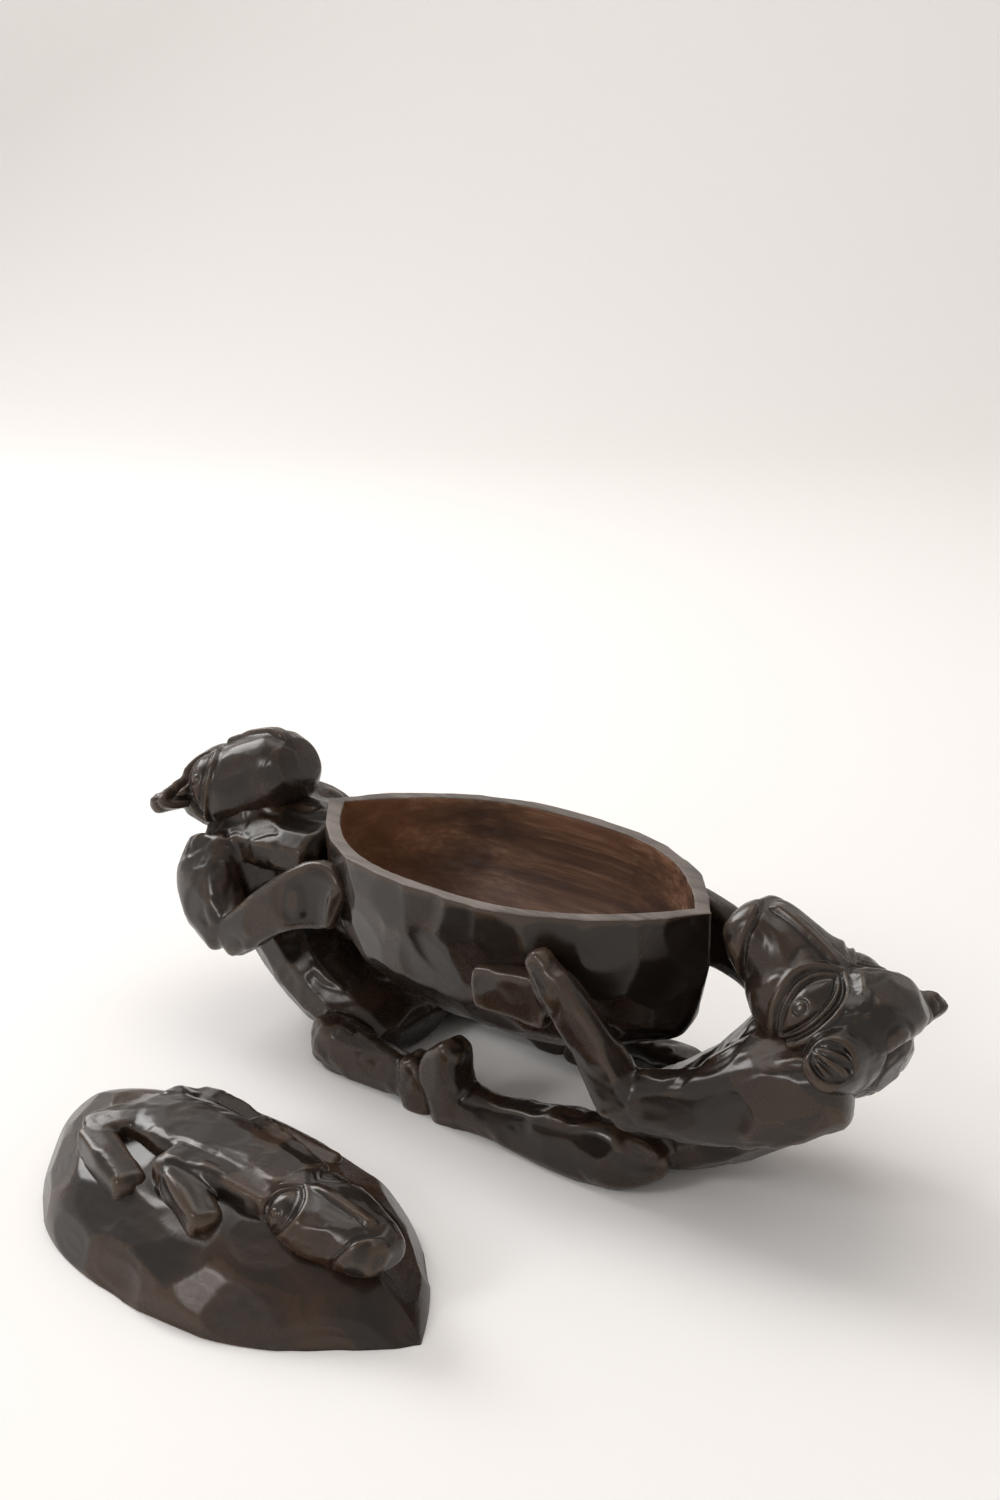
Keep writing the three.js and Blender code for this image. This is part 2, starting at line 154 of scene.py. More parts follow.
def dress(tree, shader, colour, rough, relief, bump):
    strength, distance = bump
    tree.plug(shader.inputs["Base Color"], colour)
    tree.plug(shader.inputs["Roughness"], rough)
    tree.plug(shader.inputs["Normal"], tree.add("ShaderNodeBump", None, {
        "Strength": strength, "Distance": distance, "Height": relief}))


stainedLook = {
    "black": (0.0115, 0.0080, 0.0060, 1),
    "brown": (0.050, 0.0235, 0.0120, 1),
    "worn": (0.070, 0.044, 0.028, 1),
    "sheen": (1.0, 0.95, 0.90, 1),
    "specular": 0.46,
    "grain": ((14, 150, 150), 3, 0.55, 0.6),     # it runs along X
    "patches": ((22, 22, 22), 4, 0.6, 0.8),
    "wrinkle": ((170, 170, 170), 2, 0.5, 1.2),
    "brownFrom": (0.6, 0.2, 0.2),        # weights of patches, grain and the tone of a cut
    "brownEdge": (0.40, 0.66),
    "wearFrom": (1, 0.35),               # weights of edges and grain
    "wearEdge": (0.5, 1.1),
    # painted shade: how far the hollows are darkened toward black
    "paintedShade": 0.55,
    "rough": 0.15,
    "roughFrom": (0.06, 0.12, 0.05),     # weights of the tone of a cut, patches and wrinkle
    "wrinkleEdge": (0.3, 0.8),
    "reliefFrom": (0.4, 0.6),            # weights of grain and wrinkle
    "bump": (0.26, 0.35 * mm),           # strength and height
}


# Dark stained and waxed wood. Wear shows on the edges of the cuts, brown in the patches, and painted shade
# darkens the hollows.
def stainedWood(name, wear=0.5, patch=0.5):
    material, tree, shader = startMaterial(name)
    look = stainedLook
    place = tree.add("ShaderNodeTexCoord", output="Object")
    grain, patches, wrinkle = (noise(tree, place, look[label]) for label in ("grain", "patches", "wrinkle"))
    edge, hollow, tone = (tree.add("ShaderNodeAttribute", {"attribute_name": label}, output="Fac")
                          for label in ("edgeWear", "hollowPaintedShade", "cutTone"))
    brownShare = ramp(tree, weighed(look["brownFrom"], patches, grain, tone), *look["brownEdge"]) * patch
    wornShare = ramp(tree, weighed(look["wearFrom"], edge, grain), *look["wearEdge"]) * wear
    colour = mixed(tree, brownShare, look["black"], look["brown"])
    colour = mixed(tree, wornShare, colour, look["worn"])
    # painted shade: the hollows are darkened toward black
    colour = mixed(tree, hollow * look["paintedShade"], colour, look["black"])
    wrinkled = ramp(tree, wrinkle, *look["wrinkleEdge"])
    rough = look["rough"] + weighed(look["roughFrom"], tone, patches, wrinkled)
    dress(tree, shader, colour, rough, weighed(look["reliefFrom"], grain, wrinkle), look["bump"])
    shader.inputs["Specular IOR Level"].default_value = look["specular"]
    shader.inputs["Specular Tint"].default_value = look["sheen"]
    return material


bareLook = {
    "dark": (0.040, 0.0165, 0.0085, 1),
    "middle": (0.160, 0.070, 0.034, 1),
    "pale": (0.330, 0.195, 0.125, 1),
    "warm": (0.230, 0.088, 0.028, 1),
    "streaks": ((4, 46, 70), 6, 0.62, 0.25),
    "fine": ((26, 420, 560), 4, 0.6, 0.1),
    "clouds": ((16, 16, 16), 3, 0.55, 0.6),
    "middleFrom": (0.7, 0.3),            # weights of streaks and clouds
    "middleEdge": (0.38, 0.64),
    "paleFrom": (0.7, 0.4, 0.2),         # weights of streaks, fine grain and clouds
    "paleEdge": (0.64, 0.88),
    "paleShare": 0.7,
    "warmEnd": (45 * mm, 105 * mm),      # toward the left end the wood is warmer
    "warmShare": (0.35, 0.5),
    "rough": (0.42, 0.2),
    "reliefFrom": (0.7, 0.6),            # weights of fine grain and streaks
    "bump": (0.4, 0.5 * mm),
}


# Bare wood inside the hollows, with streaks of colour along the grain.
def bareWood(name):
    material, tree, shader = startMaterial(name)
    look = bareLook
    place = tree.add("ShaderNodeTexCoord", output="Object")
    streaks, fine, clouds = (noise(tree, place, look[label]) for label in ("streaks", "fine", "clouds"))
    share = ramp(tree, weighed(look["middleFrom"], streaks, clouds), *look["middleEdge"])
    colour = mixed(tree, share, look["dark"], look["middle"])
    pale = ramp(tree, weighed(look["paleFrom"], streaks, fine, clouds), *look["paleEdge"])
    colour = mixed(tree, pale * look["paleShare"], colour, look["pale"])
    along = tree.add("ShaderNodeSeparateXYZ", None, {"Vector": place}, output="X")
    base, more = look["warmShare"]
    warm = ramp(tree, along * -1, *look["warmEnd"]) * (base + clouds * more)
    colour = mixed(tree, warm, colour, look["warm"])
    least, more = look["rough"]
    dress(tree, shader, colour, least + fine * more, weighed(look["reliefFrom"], fine, streaks), look["bump"])
    return material


rimLook = {
    "dark": (0.075, 0.058, 0.048, 1),
    "pale": (0.190, 0.155, 0.135, 1),
    "grain": ((25, 260, 260), 5, 0.65, 0.5),
    "clouds": ((30, 30, 30), 3, 0.5, 0.4),
    "paleFrom": (0.6, 0.4),              # weights of grain and clouds
    "paleEdge": (0.38, 0.66),
    "rough": (0.48, 0.14),
    "bump": (0.3, 0.4 * mm),
}


# The flat rim, sawn and left dull, a lighter grey brown.
def rimWood(name):
    material, tree, shader = startMaterial(name)
    look = rimLook
    place = tree.add("ShaderNodeTexCoord", output="Object")
    grain, clouds = noise(tree, place, look["grain"]), noise(tree, place, look["clouds"])
    share = ramp(tree, weighed(look["paleFrom"], grain, clouds), *look["paleEdge"])
    colour = mixed(tree, share, look["dark"], look["pale"])
    least, more = look["rough"]
    dress(tree, shader, colour, least + clouds * more, grain, look["bump"])
    return material


darkWood = stainedWood("darkWaxedWood")
lidWood = stainedWood("lidWaxedWood", wear=0.6, patch=0.7)
insideWood = bareWood("bareInsideWood")
rimFinish = rimWood("sawnRimWood")
print("materials made")


# meshes as arrays of numbers
def vectorsOf(items, key):
    values = np.empty(len(items) * 3)
    items.foreach_get(key, values)
    return values.reshape(-1, 3)


def placesOf(mesh):
    return vectorsOf(mesh.vertices, "co")


def normalsOf(mesh):
    return vectorsOf(mesh.vertices, "normal")


def edgesOf(mesh):
    edges = np.empty(len(mesh.edges) * 2, int)
    mesh.edges.foreach_get("vertices", edges)
    return edges.reshape(-1, 2)


def setPlaces(mesh, co):
    mesh.vertices.foreach_set("co", co.ravel())
    mesh.update()


def addAttribute(mesh, name, values):
    found = mesh.attributes.get(name) or mesh.attributes.new(name, "FLOAT", "POINT")
    found.data.foreach_set("value", np.asarray(values, np.float32))


def unitRows(rows):
    return rows / np.maximum(np.linalg.norm(rows, axis=1), tiny)[:, None]


# mean of each vertex's neighbours, for any value per vertex
def neighbourMean(values, edges):
    count = np.bincount(edges.ravel(), minlength=len(values))
    columns = []
    for column in values.reshape(len(values), -1).T:
        total = np.bincount(edges[:, 0], column[edges[:, 1]], len(values))
        total += np.bincount(edges[:, 1], column[edges[:, 0]], len(values))
        columns.append(total / np.maximum(count, 1))
    return np.array(columns).T.reshape(values.shape)


def blurred(values, edges, rounds):
    for turn in range(rounds):
        values = neighbourMean(values, edges)
    return values


relaxShares = (0.5, -0.42)      # in and out again, so that the form keeps its size


def relax(mesh, rounds):
    co, edges = placesOf(mesh), edgesOf(mesh)
    for turn in range(rounds):
        for share in relaxShares:
            co = co + (neighbourMean(co, edges) - co) * share
    setPlaces(mesh, co)


# the hollows' share is painted shade that darkens them
edgeLook = {"rounds": 6, "blur": 2, "sharp": 0.05, "wear": 0.16, "paintedShade": 0.2}


# wear on proud edges and painted shade in hollows, from how far a vertex stands off its neighbourhood
def markEdges(mesh, spacing):
    co, edges = placesOf(mesh), edgesOf(mesh)
    off = co - blurred(co, edges, edgeLook["rounds"])
    proud = blurred((off * normalsOf(mesh)).sum(1) / spacing, edges, edgeLook["blur"]) / edgeLook["sharp"]
    addAttribute(mesh, "edgeWear", np.clip(proud * edgeLook["wear"], 0, 1))
    # painted shade in the hollows, from how deep they lie
    addAttribute(mesh, "hollowPaintedShade", np.clip(-proud * edgeLook["paintedShade"], 0, 1))


def newPiece(name, mesh):
    piece = bpy.data.objects.new(name, mesh)
    bpy.context.collection.objects.link(piece)
    return piece


def pieceFrom(name, work):
    mesh = bpy.data.meshes.new(name)
    work.to_mesh(mesh)
    work.free()
    return newPiece(name, mesh)


def discard(piece):
    mesh = piece.data
    bpy.data.objects.remove(piece)
    bpy.data.meshes.remove(mesh)


weld = 1e-6      # the loose triangles of a CAD node are one skin within this, in metres


# a copy of a CAD node, grown a little so that neighbours meet
def grownCopy(name, node, grow):
    work = bmesh.new()
    work.from_mesh(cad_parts[node].data)
    bmesh.ops.remove_doubles(work, verts=work.verts, dist=weld)
    work.normal_update()
    for v in work.verts:
        v.co += v.normal * grow
    return pieceFrom(name, work)


def joined(name, *parts):
    work = bmesh.new()
    for part in parts:
        work.from_mesh(part.data)
        discard(part)
    return pieceFrom(name, work)


# takes the modifiers' result as the piece's own mesh
def settle(piece):
    ready = bpy.data.meshes.new_from_object(piece.evaluated_get(bpy.context.evaluated_depsgraph_get()))
    old = piece.data
    piece.modifiers.clear()
    piece.data = ready
    ready.name = piece.name
    bpy.data.meshes.remove(old)


def voxelised(piece, voxel):
    modifier = piece.modifiers.new("blocked", "REMESH")
    modifier.mode = "VOXEL"
    modifier.voxel_size = voxel
    settle(piece)


# moves every point along its normal
def swollen(mesh, by):
    setPlaces(mesh, placesOf(mesh) + normalsOf(mesh) * by)


# closes narrow clefts: what is grown becomes one skin and shrinks back
def fused(piece, form):
    voxelised(piece, form["voxel"])
    swollen(piece.data, form["grow"] - form["closing"])
    voxelised(piece, form["voxel"])
    relax(piece.data, form["rounds"])


# what lies on the table is flat there
def sitDown(mesh):
    co = placesOf(mesh)
    co[:, 2] = np.maximum(co[:, 2], 0)
    setPlaces(mesh, co)


# the hidden underside of a relief ends inside the wall that it stands on
def keptInWall(mesh, shell, depth):
    surface = BVHTree.FromPolygons([v.co for v in shell.vertices], [p.vertices for p in shell.polygons])
    co = placesOf(mesh)
    for place in co:
        found = surface.ray_cast(Vector((place[0], place[1], 1)), Vector((0, 0, -1)))[0]
        if found:
            place[2] = max(place[2], found.z - depth)
    setPlaces(mesh, co)


# The knife. A cut is flat within its reach and lifts off beyond it. Where the form turns away
# from a cut, the cut loses its hold. Lengths are shares of the cut's size.
knife = {
    "reach": 0.8,
    "lift": 0.3,
    "turnAway": 1.6,
    "least": 0.6,         # a form that faces a cut less than this is not cut by it
    "slant": 0.4,
    "range": 2.6,
    "crowding": 1.6,      # cuts for each square of their distance
    "blur": 8,            # how often the normals are blurred
    "batch": 4000,        # points worked out at a time
}
noCut = 1.0               # a height in metres that no cut comes near


# Geometry nodes scatter the cuts over a form: a point for each, with the way the form faces.
def cutTree():
    group = bpy.data.node_groups.new("knifeCuts", "GeometryNodeTree")
    face = group.interface
    face.new_socket("Geometry", in_out="INPUT", socket_type="NodeSocketGeometry")
    for label, kind, value in (
        ("Apart", "NodeSocketFloat", 10 * mm),
        ("Smooth", "NodeSocketInt", 8),
        ("Seed", "NodeSocketInt", 1),
    ):
        face.new_socket(label, in_out="INPUT", socket_type=kind).default_value = value
    face.new_socket("Finish", in_out="INPUT", socket_type="NodeSocketMaterial")
    face.new_socket("Geometry", in_out="OUTPUT", socket_type="NodeSocketGeometry")
    tree = Tree(group)
    given = tree.add("NodeGroupInput")
    apart = given.other("Apart")
    normal = tree.add("GeometryNodeInputNormal")
    smooth = tree.add("GeometryNodeBlurAttribute", {"data_type": "FLOAT_VECTOR"}, {
        "Value": normal, "Iterations": given.other("Smooth")}).unit()
    marked = tree.add("GeometryNodeStoreNamedAttribute", {"data_type": "FLOAT_VECTOR", "domain": "POINT"}, {
        "Geometry": given, "Name": "faces", "Value": smooth})
    cuts = tree.add("GeometryNodeDistributePointsOnFaces", {"distribute_method": "POISSON"}, {
        "Mesh": marked, "Distance Min": apart, "Density Max": knife["crowding"] / (apart * apart),
        "Seed": given.other("Seed")})
    points = tree.add("GeometryNodePointsToVertices", None, {"Points": cuts})
    real = tree.add("GeometryNodeRealizeInstances", None, {"Geometry": points})
    done = tree.add("GeometryNodeSetMaterial", None, {"Geometry": real, "Material": given.other("Finish")})
    tree.add("NodeGroupOutput", None, {"Geometry": done})
    return group


knifeCuts = cutTree()


# places and facings of the cuts on a piece, which is left as it is
def cutPlaces(piece, apart, seed):
    spread = newPiece(piece.name, piece.data.copy())
    modifier = spread.modifiers.new("cuts", "NODES")
    modifier.node_group = knifeCuts
    values = {"Apart": apart, "Seed": seed, "Finish": darkWood}
    for item in knifeCuts.interface.items_tree:
        if item.in_out == "INPUT" and item.name in values:
            modifier[item.identifier] = values[item.name]
    settle(spread)
    places = placesOf(spread.data)
    faces = vectorsOf(spread.data.attributes["faces"].data, "vector")
    discard(spread)
    return places, unitRows(faces)


# Every point of the piece goes to the deepest of the shallow cuts round it. A cut that would
# go deeper there belongs to another form and fades out.
def carve(piece, finish, cuts, seed, unit=mm, mask=None):
    size, bite, deepest, proudest = (cuts[key] * unit for key in ("size", "bite", "deepest", "proudest"))
    stretch = cuts["stretch"]
    places, faces = cutPlaces(piece, size, seed)
    chance = np.random.default_rng(seed)
    planes = unitRows(faces + chance.normal(0, cuts["tilt"], faces.shape))
    heights = (places * planes).sum(1) - chance.random(len(places)) * bite
    tones = chance.random(len(places))
    co, edges = placesOf(piece.data), edgesOf(piece.data)
    normals = unitRows(blurred(normalsOf(piece.data), edges, knife["blur"]))
    drop = np.zeros(len(co))
    tone = np.full(len(co), plainTone)
    for start in range(0, len(co), knife["batch"]):
        part = slice(start, start + knife["batch"])
        facing = normals[part] @ planes.T
        height = (heights - co[part] @ planes.T) / np.maximum(facing, knife["slant"])
        away = sum(np.subtract.outer(co[part, k] * stretch[k], places[:, k] * stretch[k]) ** 2
                   for k in range(3))
        beyond = np.clip(np.sqrt(away) / size - knife["reach"], 0, None)
        height = height + size * knife["lift"] * beyond ** 2
        loosened = np.minimum(height + size * knife["turnAway"] * (1 - facing), 0)
        height = np.where(height < 0, loosened, height)
        height = np.where(height < -deepest, -2 * deepest - height, height)
        met = (facing > knife["least"]) & (away < (knife["range"] * size) ** 2)
        height = np.where(met, height, noCut)
        first = height.argmin(1)
        lowest = height[np.arange(len(first)), first]
        drop[part] = np.where(lowest < noCut, lowest, 0)
        tone[part] = np.where(lowest < noCut, tones[first], plainTone)
    drop = blurred(np.clip(drop, -deepest, proudest), edges, cuts["soften"])
    if mask is not None:
        drop = drop * mask
    setPlaces(piece.data, co + normals * drop[:, None])
    addAttribute(piece.data, "cutTone", tone)
    piece.data.materials.clear()
    piece.data.materials.append(finish)


# a smooth curve through points of any number of values
def curveThrough(points, steps):
    points = [np.array(p, float) for p in points]
    padded = [2 * points[0] - points[1], *points, 2 * points[-1] - points[-2]]
    route = []
    for a, b, c, d in zip(padded, padded[1:], padded[2:], padded[3:]):
        for i in range(steps):
            t = i / steps
            route.append(0.5 * (2 * b + (c - a) * t + (2 * a - 5 * b + 4 * c - d) * t * t
                                + (3 * b - a - 3 * c + d) * t ** 3))
    route.append(points[-1])
    return np.array(route)


def step(value, low, high):
    t = np.clip((value - low) / (high - low), 0, 1)
    return t * t * (3 - 2 * t)


def ridge(far, width):
    return np.exp(-(far / width) ** 2)


def shadeSmooth(mesh):
    mesh.polygons.foreach_set("use_smooth", [True] * len(mesh.polygons))
    mesh.update()


# a piece is done: it is shaded smooth, rides on its body and stands for its nodes; its slot is not used
def finished(piece, body, slot, *nodes):
    shadeSmooth(piece.data)
    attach(piece, body)
    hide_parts(*nodes)
    print(piece.name, len(piece.data.vertices), "points")


# The bowl. Its cuts, as all cuts here, have their size, bite, depth and height in mm.
bowlForm = {
    "planFullness": 2.7,      # of the lens-shaped rim
    "sideFullness": 2.3,      # of the ribs
    "keelRise": 27 * mm,
    "sternEdge": 20 * mm,
    "stern": (0.86, 0.14),    # where it starts and how long it is, as shares of the half length
    "wall": 5.6 * mm,
    "tipWall": 8.6 * mm,
    "floor": 9 * mm,
    "ribs": 230,
    "parts": 132,
    "spacing": 1.2 * mm,
    "rimDrop": 0.45 * mm,
    "rimRows": ((0.03, 0.3), (0.09, 0.45), (0.35, 0.45), (0.65, 0.45), (0.92, 0.45), (0.975, 0.3)),
    "outsideCuts": {"size": 13, "tilt": 0.07, "bite": 0.5, "deepest": 1.4, "proudest": 0.8,
                    "stretch": (1, 1, 0.75), "soften": 0},
    "seeds": (4, 9),
}
insideCuts = {"size": 9, "tilt": 0.02, "bite": 0.15, "deepest": 0.3, "proudest": 0.2,
              "stretch": (0.3, 1, 1), "soften": 0}
ribCrowding = (0.65, 0.35)    # shares of ribs that crowd toward the tips and of evenly spaced ones
seam = 2e-5                   # points of a shell's skins that meet are one within this, in metres


def lensHalf(x, halfLength, halfWidth):
    return halfWidth * np.clip(1 - np.abs(x / halfLength) ** bowlForm["planFullness"], 0, None)


# a skin of U-shaped ribs below (or above) a lens, as a grid of points
def ribGrid(form, halfLength, halfWidth, rimZ, toward, fullness, depthAt):
    ribs, parts = form["ribs"], form["parts"]
    crowded, even = ribCrowding
    turn = -np.cos(np.linspace(0, math.pi, ribs + 1))
    x = crowded * turn * halfLength + even * np.linspace(-1, 1, ribs + 1) * halfLength
    angle = np.linspace(0, math.pi, parts + 1)
    fullness = np.broadcast_to(fullness(x / halfLength), x.shape)[:, None]
    across = np.sign(np.cos(angle)) * np.abs(np.cos(angle)) ** (2 / fullness)
    down = np.sin(angle) ** (2 / fullness)
    grid = np.empty((ribs + 1, parts + 1, 3))
    grid[..., 0] = x[:, None]
    grid[..., 1] = lensHalf(x, halfLength, halfWidth)[:, None] * across
    grid[..., 2] = rimZ + toward * depthAt(x)[:, None] * down
    return grid


def gridFaces(rows, columns, flip):
    faces = []
    for i in range(rows - 1):
        for j in range(columns - 1):
            a = i * columns + j
            face = (a, a + 1, a + columns + 1, a + columns)
            faces.append(face[::-1] if flip else face)
    return faces


def carvedGrid(name, grid, flip, cuts, seed):
    mesh = bpy.data.meshes.new(name)
    mesh.from_pydata(grid.reshape(-1, 3).tolist(), [], gridFaces(*grid.shape[:2], flip))
    mesh.update()
    piece = newPiece(name, mesh)
    carve(piece, darkWood, cuts, seed)
    carved = placesOf(mesh).reshape(grid.shape)
    tones = np.empty(len(mesh.vertices))
    mesh.attributes["cutTone"].data.foreach_get("value", tones)
    for end in (0, -1):      # both sides meet in one line at the tips
        carved[end] = (carved[end] + carved[end][::-1]) / 2
    discard(piece)
    return carved, tones


# closes an outer and an inner skin with a rim, and gives each its finish; upward is 1 or -1
def shellPiece(name, outer, inner, tones, rimRows, finishes, upward):
    sheets = [(outer, upward > 0, 0), (inner, upward < 0, 1)]
    for column, flip in ((0, upward > 0), (-1, upward < 0)):
        lip = np.array([outer[:, column] * (1 - share) + inner[:, column] * share + (0, 0, upward * lift * mm)
                        for share, lift in rimRows])
        sheets.append((np.concatenate([outer[None, :, column], lip, inner[None, :, column]]), flip, 2))
    points, faces, kinds = [], [], []
    for grid, flip, kind in sheets:
        start = sum(len(part) for part in points)
        points.append(grid.reshape(-1, 3))
        made = gridFaces(*grid.shape[:2], flip)
        faces += [tuple(v + start for v in face) for face in made]
        kinds += [kind] * len(made)
    mesh = bpy.data.meshes.new(name)
    mesh.from_pydata(np.concatenate(points).tolist(), [], faces)
    for finish in finishes:
        mesh.materials.append(finish)
    mesh.polygons.foreach_set("material_index", kinds)
    mesh.update()
    rest = np.full(len(mesh.vertices) - len(tones), plainTone)
    addAttribute(mesh, "cutTone", np.concatenate([tones, rest]))
    work = bmesh.new()
    work.from_mesh(mesh)
    bmesh.ops.remove_doubles(work, verts=work.verts, dist=seam)
    bmesh.ops.recalc_face_normals(work, faces=work.faces)
    work.to_mesh(mesh)
    work.free()
    return newPiece(name, mesh)


# two carved skins of ribs with a wall between them; toward is below zero where it hangs from its rim
def makeShell(name, form, halfLength, halfWidth, rimZ, toward, fullness, depthAt, spin, middle, wood):
    innerHalf = halfLength - form["tipWall"]

    def innerDepthAt(x):
        return depthAt(x * halfLength / innerHalf, form["floor"])

    outer = ribGrid(form, halfLength, halfWidth, rimZ, toward, fullness, depthAt)
    inner = ribGrid(form, innerHalf, halfWidth - form["wall"], rimZ, toward, fullness, innerDepthAt)
    outer, tones = carvedGrid(name, outer, toward < 0, form["outsideCuts"], form["seeds"][0])
    inner = carvedGrid(name, inner, toward > 0, insideCuts, form["seeds"][1])[0]
    for grid in (outer, inner):
        grid[..., 2] = rimZ + toward * np.maximum(toward * (grid[..., 2] - rimZ), 0)
        for edge in (0, -1):
            grid[:, edge, 2] = rimZ + toward * form["rimDrop"]
        grid[:] = grid @ np.array(spin).T + np.array(middle)
    shell = shellPiece(name, outer, inner, tones, form["rimRows"], (wood, insideWood, rimFinish), -toward)
    markEdges(shell.data, form["spacing"])
    return shell


def makeBowl():
    form = bowlForm
    full = bowlHigh[2] - bowlLow[2]
    halfLength = (bowlHigh[0] - bowlLow[0]) / 2
    halfWidth = (bowlHigh[1] - bowlLow[1]) / 2
    sternFrom, sternLong = form["stern"]

    def depthAt(x, less=0.0):
        t = np.minimum(1, np.abs(x) / halfLength)
        rise = form["keelRise"] * t ** 3
        sternDepth = full - form["keelRise"] - form["sternEdge"]
        return full - rise - sternDepth * np.clip((t - sternFrom) / sternLong, 0, None) ** 2 - less

    def even(t):
        return form["sideFullness"]

    bowl = makeShell("carvedBowl", form, halfLength, halfWidth, bowlHigh[2], -1, even, depthAt,
                     Matrix.Identity(3), bowlMiddle, darkWood)
    finished(bowl, "base", "bare_inside", "bowl")


makeBowl()


# Limbs are bars through stations. A station is a place, a half width and a half depth in mm.
barForm = {
    "sides": 28,
    "steps": 5,                       # rings from station to station
    "capRings": (0.5, 0.8, 0.95),     # of a rounded end, as shares of its depth
    "tip": 0.02,
    "ends": 0.45,                     # an end's depth, as a share of the bar's size
    "sideways": 0.75,                 # a bar that leads sideways more than this is framed along
}


# 2 gives an ellipse, more is squarer
def squaredOutline(power):
    angle = np.linspace(0, 2 * math.pi, barForm["sides"], endpoint=False)
    c, s = np.cos(angle), np.sin(angle)
    reach = (np.abs(c) ** power + np.abs(s) ** power) ** (-1 / power)
    return np.stack([c * reach, s * reach], 1)


# adds a bar to a mesh under way; toPlace turns its mm into places
def bar(work, stations, outline, toPlace, across, ends):
    route = curveThrough(stations, barForm["steps"])
    along = np.gradient(route[:, :3], axis=0)
    along /= np.linalg.norm(along, axis=1)[:, None]
    capRings = [(share, (1 - share * share) ** 0.5) for share in barForm["capRings"]]
    capRings.append((1.0, barForm["tip"]))
    caps = []
    for end, out in ((0, -1), (-1, 1)):
        deep = min(route[end, 3], route[end, 4]) * ends
        caps.append([(route[end, :3] + along[end] * out * deep * share, along[end], route[end, 3:5] * size)
                     for share, size in capRings])
    body = [(r[:3], a, r[3:5]) for r, a in zip(route, along)]
    rings = []
    for middle, way, size in caps[0][::-1] + body + caps[1]:
        side = np.array(across, float) - way * way[list(across).index(1)]
        side /= np.linalg.norm(side)
        deep = np.cross(way, side)
        places = [middle + side * x * size[0] + deep * y * size[1] for x, y in outline]
        rings.append([work.verts.new(toPlace(place)) for place in places])
    count = len(outline)
    faces = []
    for one, two in zip(rings, rings[1:]):
        for i in range(count):
            faces.append(work.faces.new((one[i], one[(i + 1) % count], two[(i + 1) % count], two[i])))
    faces.append(work.faces.new(rings[0][::-1]))
    faces.append(work.faces.new(rings[-1]))
    bmesh.ops.recalc_face_normals(work, faces=faces)


# square gives how square each bar is, by its label or else as usual
def barPiece(name, bars, square, toPlace):
    work = bmesh.new()
    for label, stations in bars.items():
        lead = np.abs(np.array(stations[-1][:3]) - np.array(stations[0][:3]))
        sideways = lead[1] > barForm["sideways"] * np.linalg.norm(lead)
        outline = squaredOutline(square.get(label, square["usual"]))
        bar(work, stations, outline, toPlace, (1, 0, 0) if sideways else (0, 1, 0), barForm["ends"])
    return pieceFrom(name, work)


# A head's own frame in millimetres: t toward the muzzle, s sideways, h up through the face.
class Place:
    def __init__(self, origin, forward, side, scale=(1, 1, 1)):
        self.origin, self.scale = np.array(origin), np.array(scale) * mm
        forward, side = Vector(forward).normalized(), Vector(side).normalized()
        up = forward.cross(side)
        if up.z < 0:
            up.negate()
        self.ways = np.array([forward, side, up])

    def at(self, point):
        return self.origin + (np.array(point) * self.scale) @ self.ways

    def local(self, co):
        return (((co - self.origin) @ self.ways.T) / self.scale).T


# Faces. Lengths are in the head's own mm, angles round the head in degrees from its side.
# A line is its place, its width and its height, below zero for a groove.
faceForm = {
    "axisHeight": -2.0,                      # the angle round the head is taken about this line
    "eyeAlong": 28.0,
    "brow": (22, 52, 11.2),                  # almonds: middle and half length in degrees, half width
    "lid": (20, 42, 7.4),
    "eyeball": (17, 30, 4.6),
    "almondTip": 0.02,
    "almondBeyond": 0.45,                    # mm for each degree past an almond's ends
    "pupil": (27.8, 24, 1.9, 2.9),           # its place and its radius
    "mouthAngle": (-70, -30, -4.5, 17, 39, 71, 90),
    "mouthAlong": (52, 57, 60.2, 63.2, 64.8, 68.8, 69.5),
    "foreheadAngle": (-40, -12, 5, 27, 53, 79, 90),
    "foreheadAlong": (12, 16.7, 15.8, 14.9, 19.4, 27, 28),
    "domeEdge": 6,
    "domeBack": (-16, 2),
    "domeSide": (-40, 0),
    "domeTop": (15, 65),
    "domeShare": (0.3, 0.7),                 # at its side, and what the top adds
    "browRidge": (0.9, 1.5),
    "browGroove": (-2.2, 1.4),
    "lidLines": ((0.1, 0.9, 0.6), (-1.5, 0.8, -1.5)),
    "eyeballRise": (3.8, 1.3),
    "pupilLine": (0, 0.6, -0.75),
    "noseHalf": 4.2,
    "noseSide": 1.8,
    "noseRise": 3.0,
    "noseStart": (27, 36),
    "noseStop": (-7, -1),                    # from the mouth
    "noseHeight": (2, 6),
    "lipRise": 1.6,
    "lipEdge": (0.2, 2.2),
    "behindLip": (-5, 6, -0.8),
    "mouthLine": (0, 0.8, -1.1),
    "mouthSide": (-60, -30),
    "foreheadLine": (0, 1.1, -0.7),
    "foreheadSide": (-15, 5),
    "farSide": (0.55, 0.45, 5),              # lines are fainter on the hidden side
    "farMouth": (0.25, 0.75, 3),
}
earForm = {
    "hollow": (4.6, 25.8, 8.8, 7.6),         # middle of the hollow, and its half sizes
    "deep": 3.2,
    "turn": math.radians(41),                # it opens upward and to the side
    "facing": (0.2, 0.55),
    "start": (21, 25),
    "fan": (3, 4),                           # where the ribs spread from
    "rib": (6, 15),                          # first rib and spacing, in degrees
    "ribShare": 0.5,
    "ribEdge": (0.05, 0.4),
    "edge": (0, 0.3),
    "rim": (1.14, 0.13, 0.2),
}
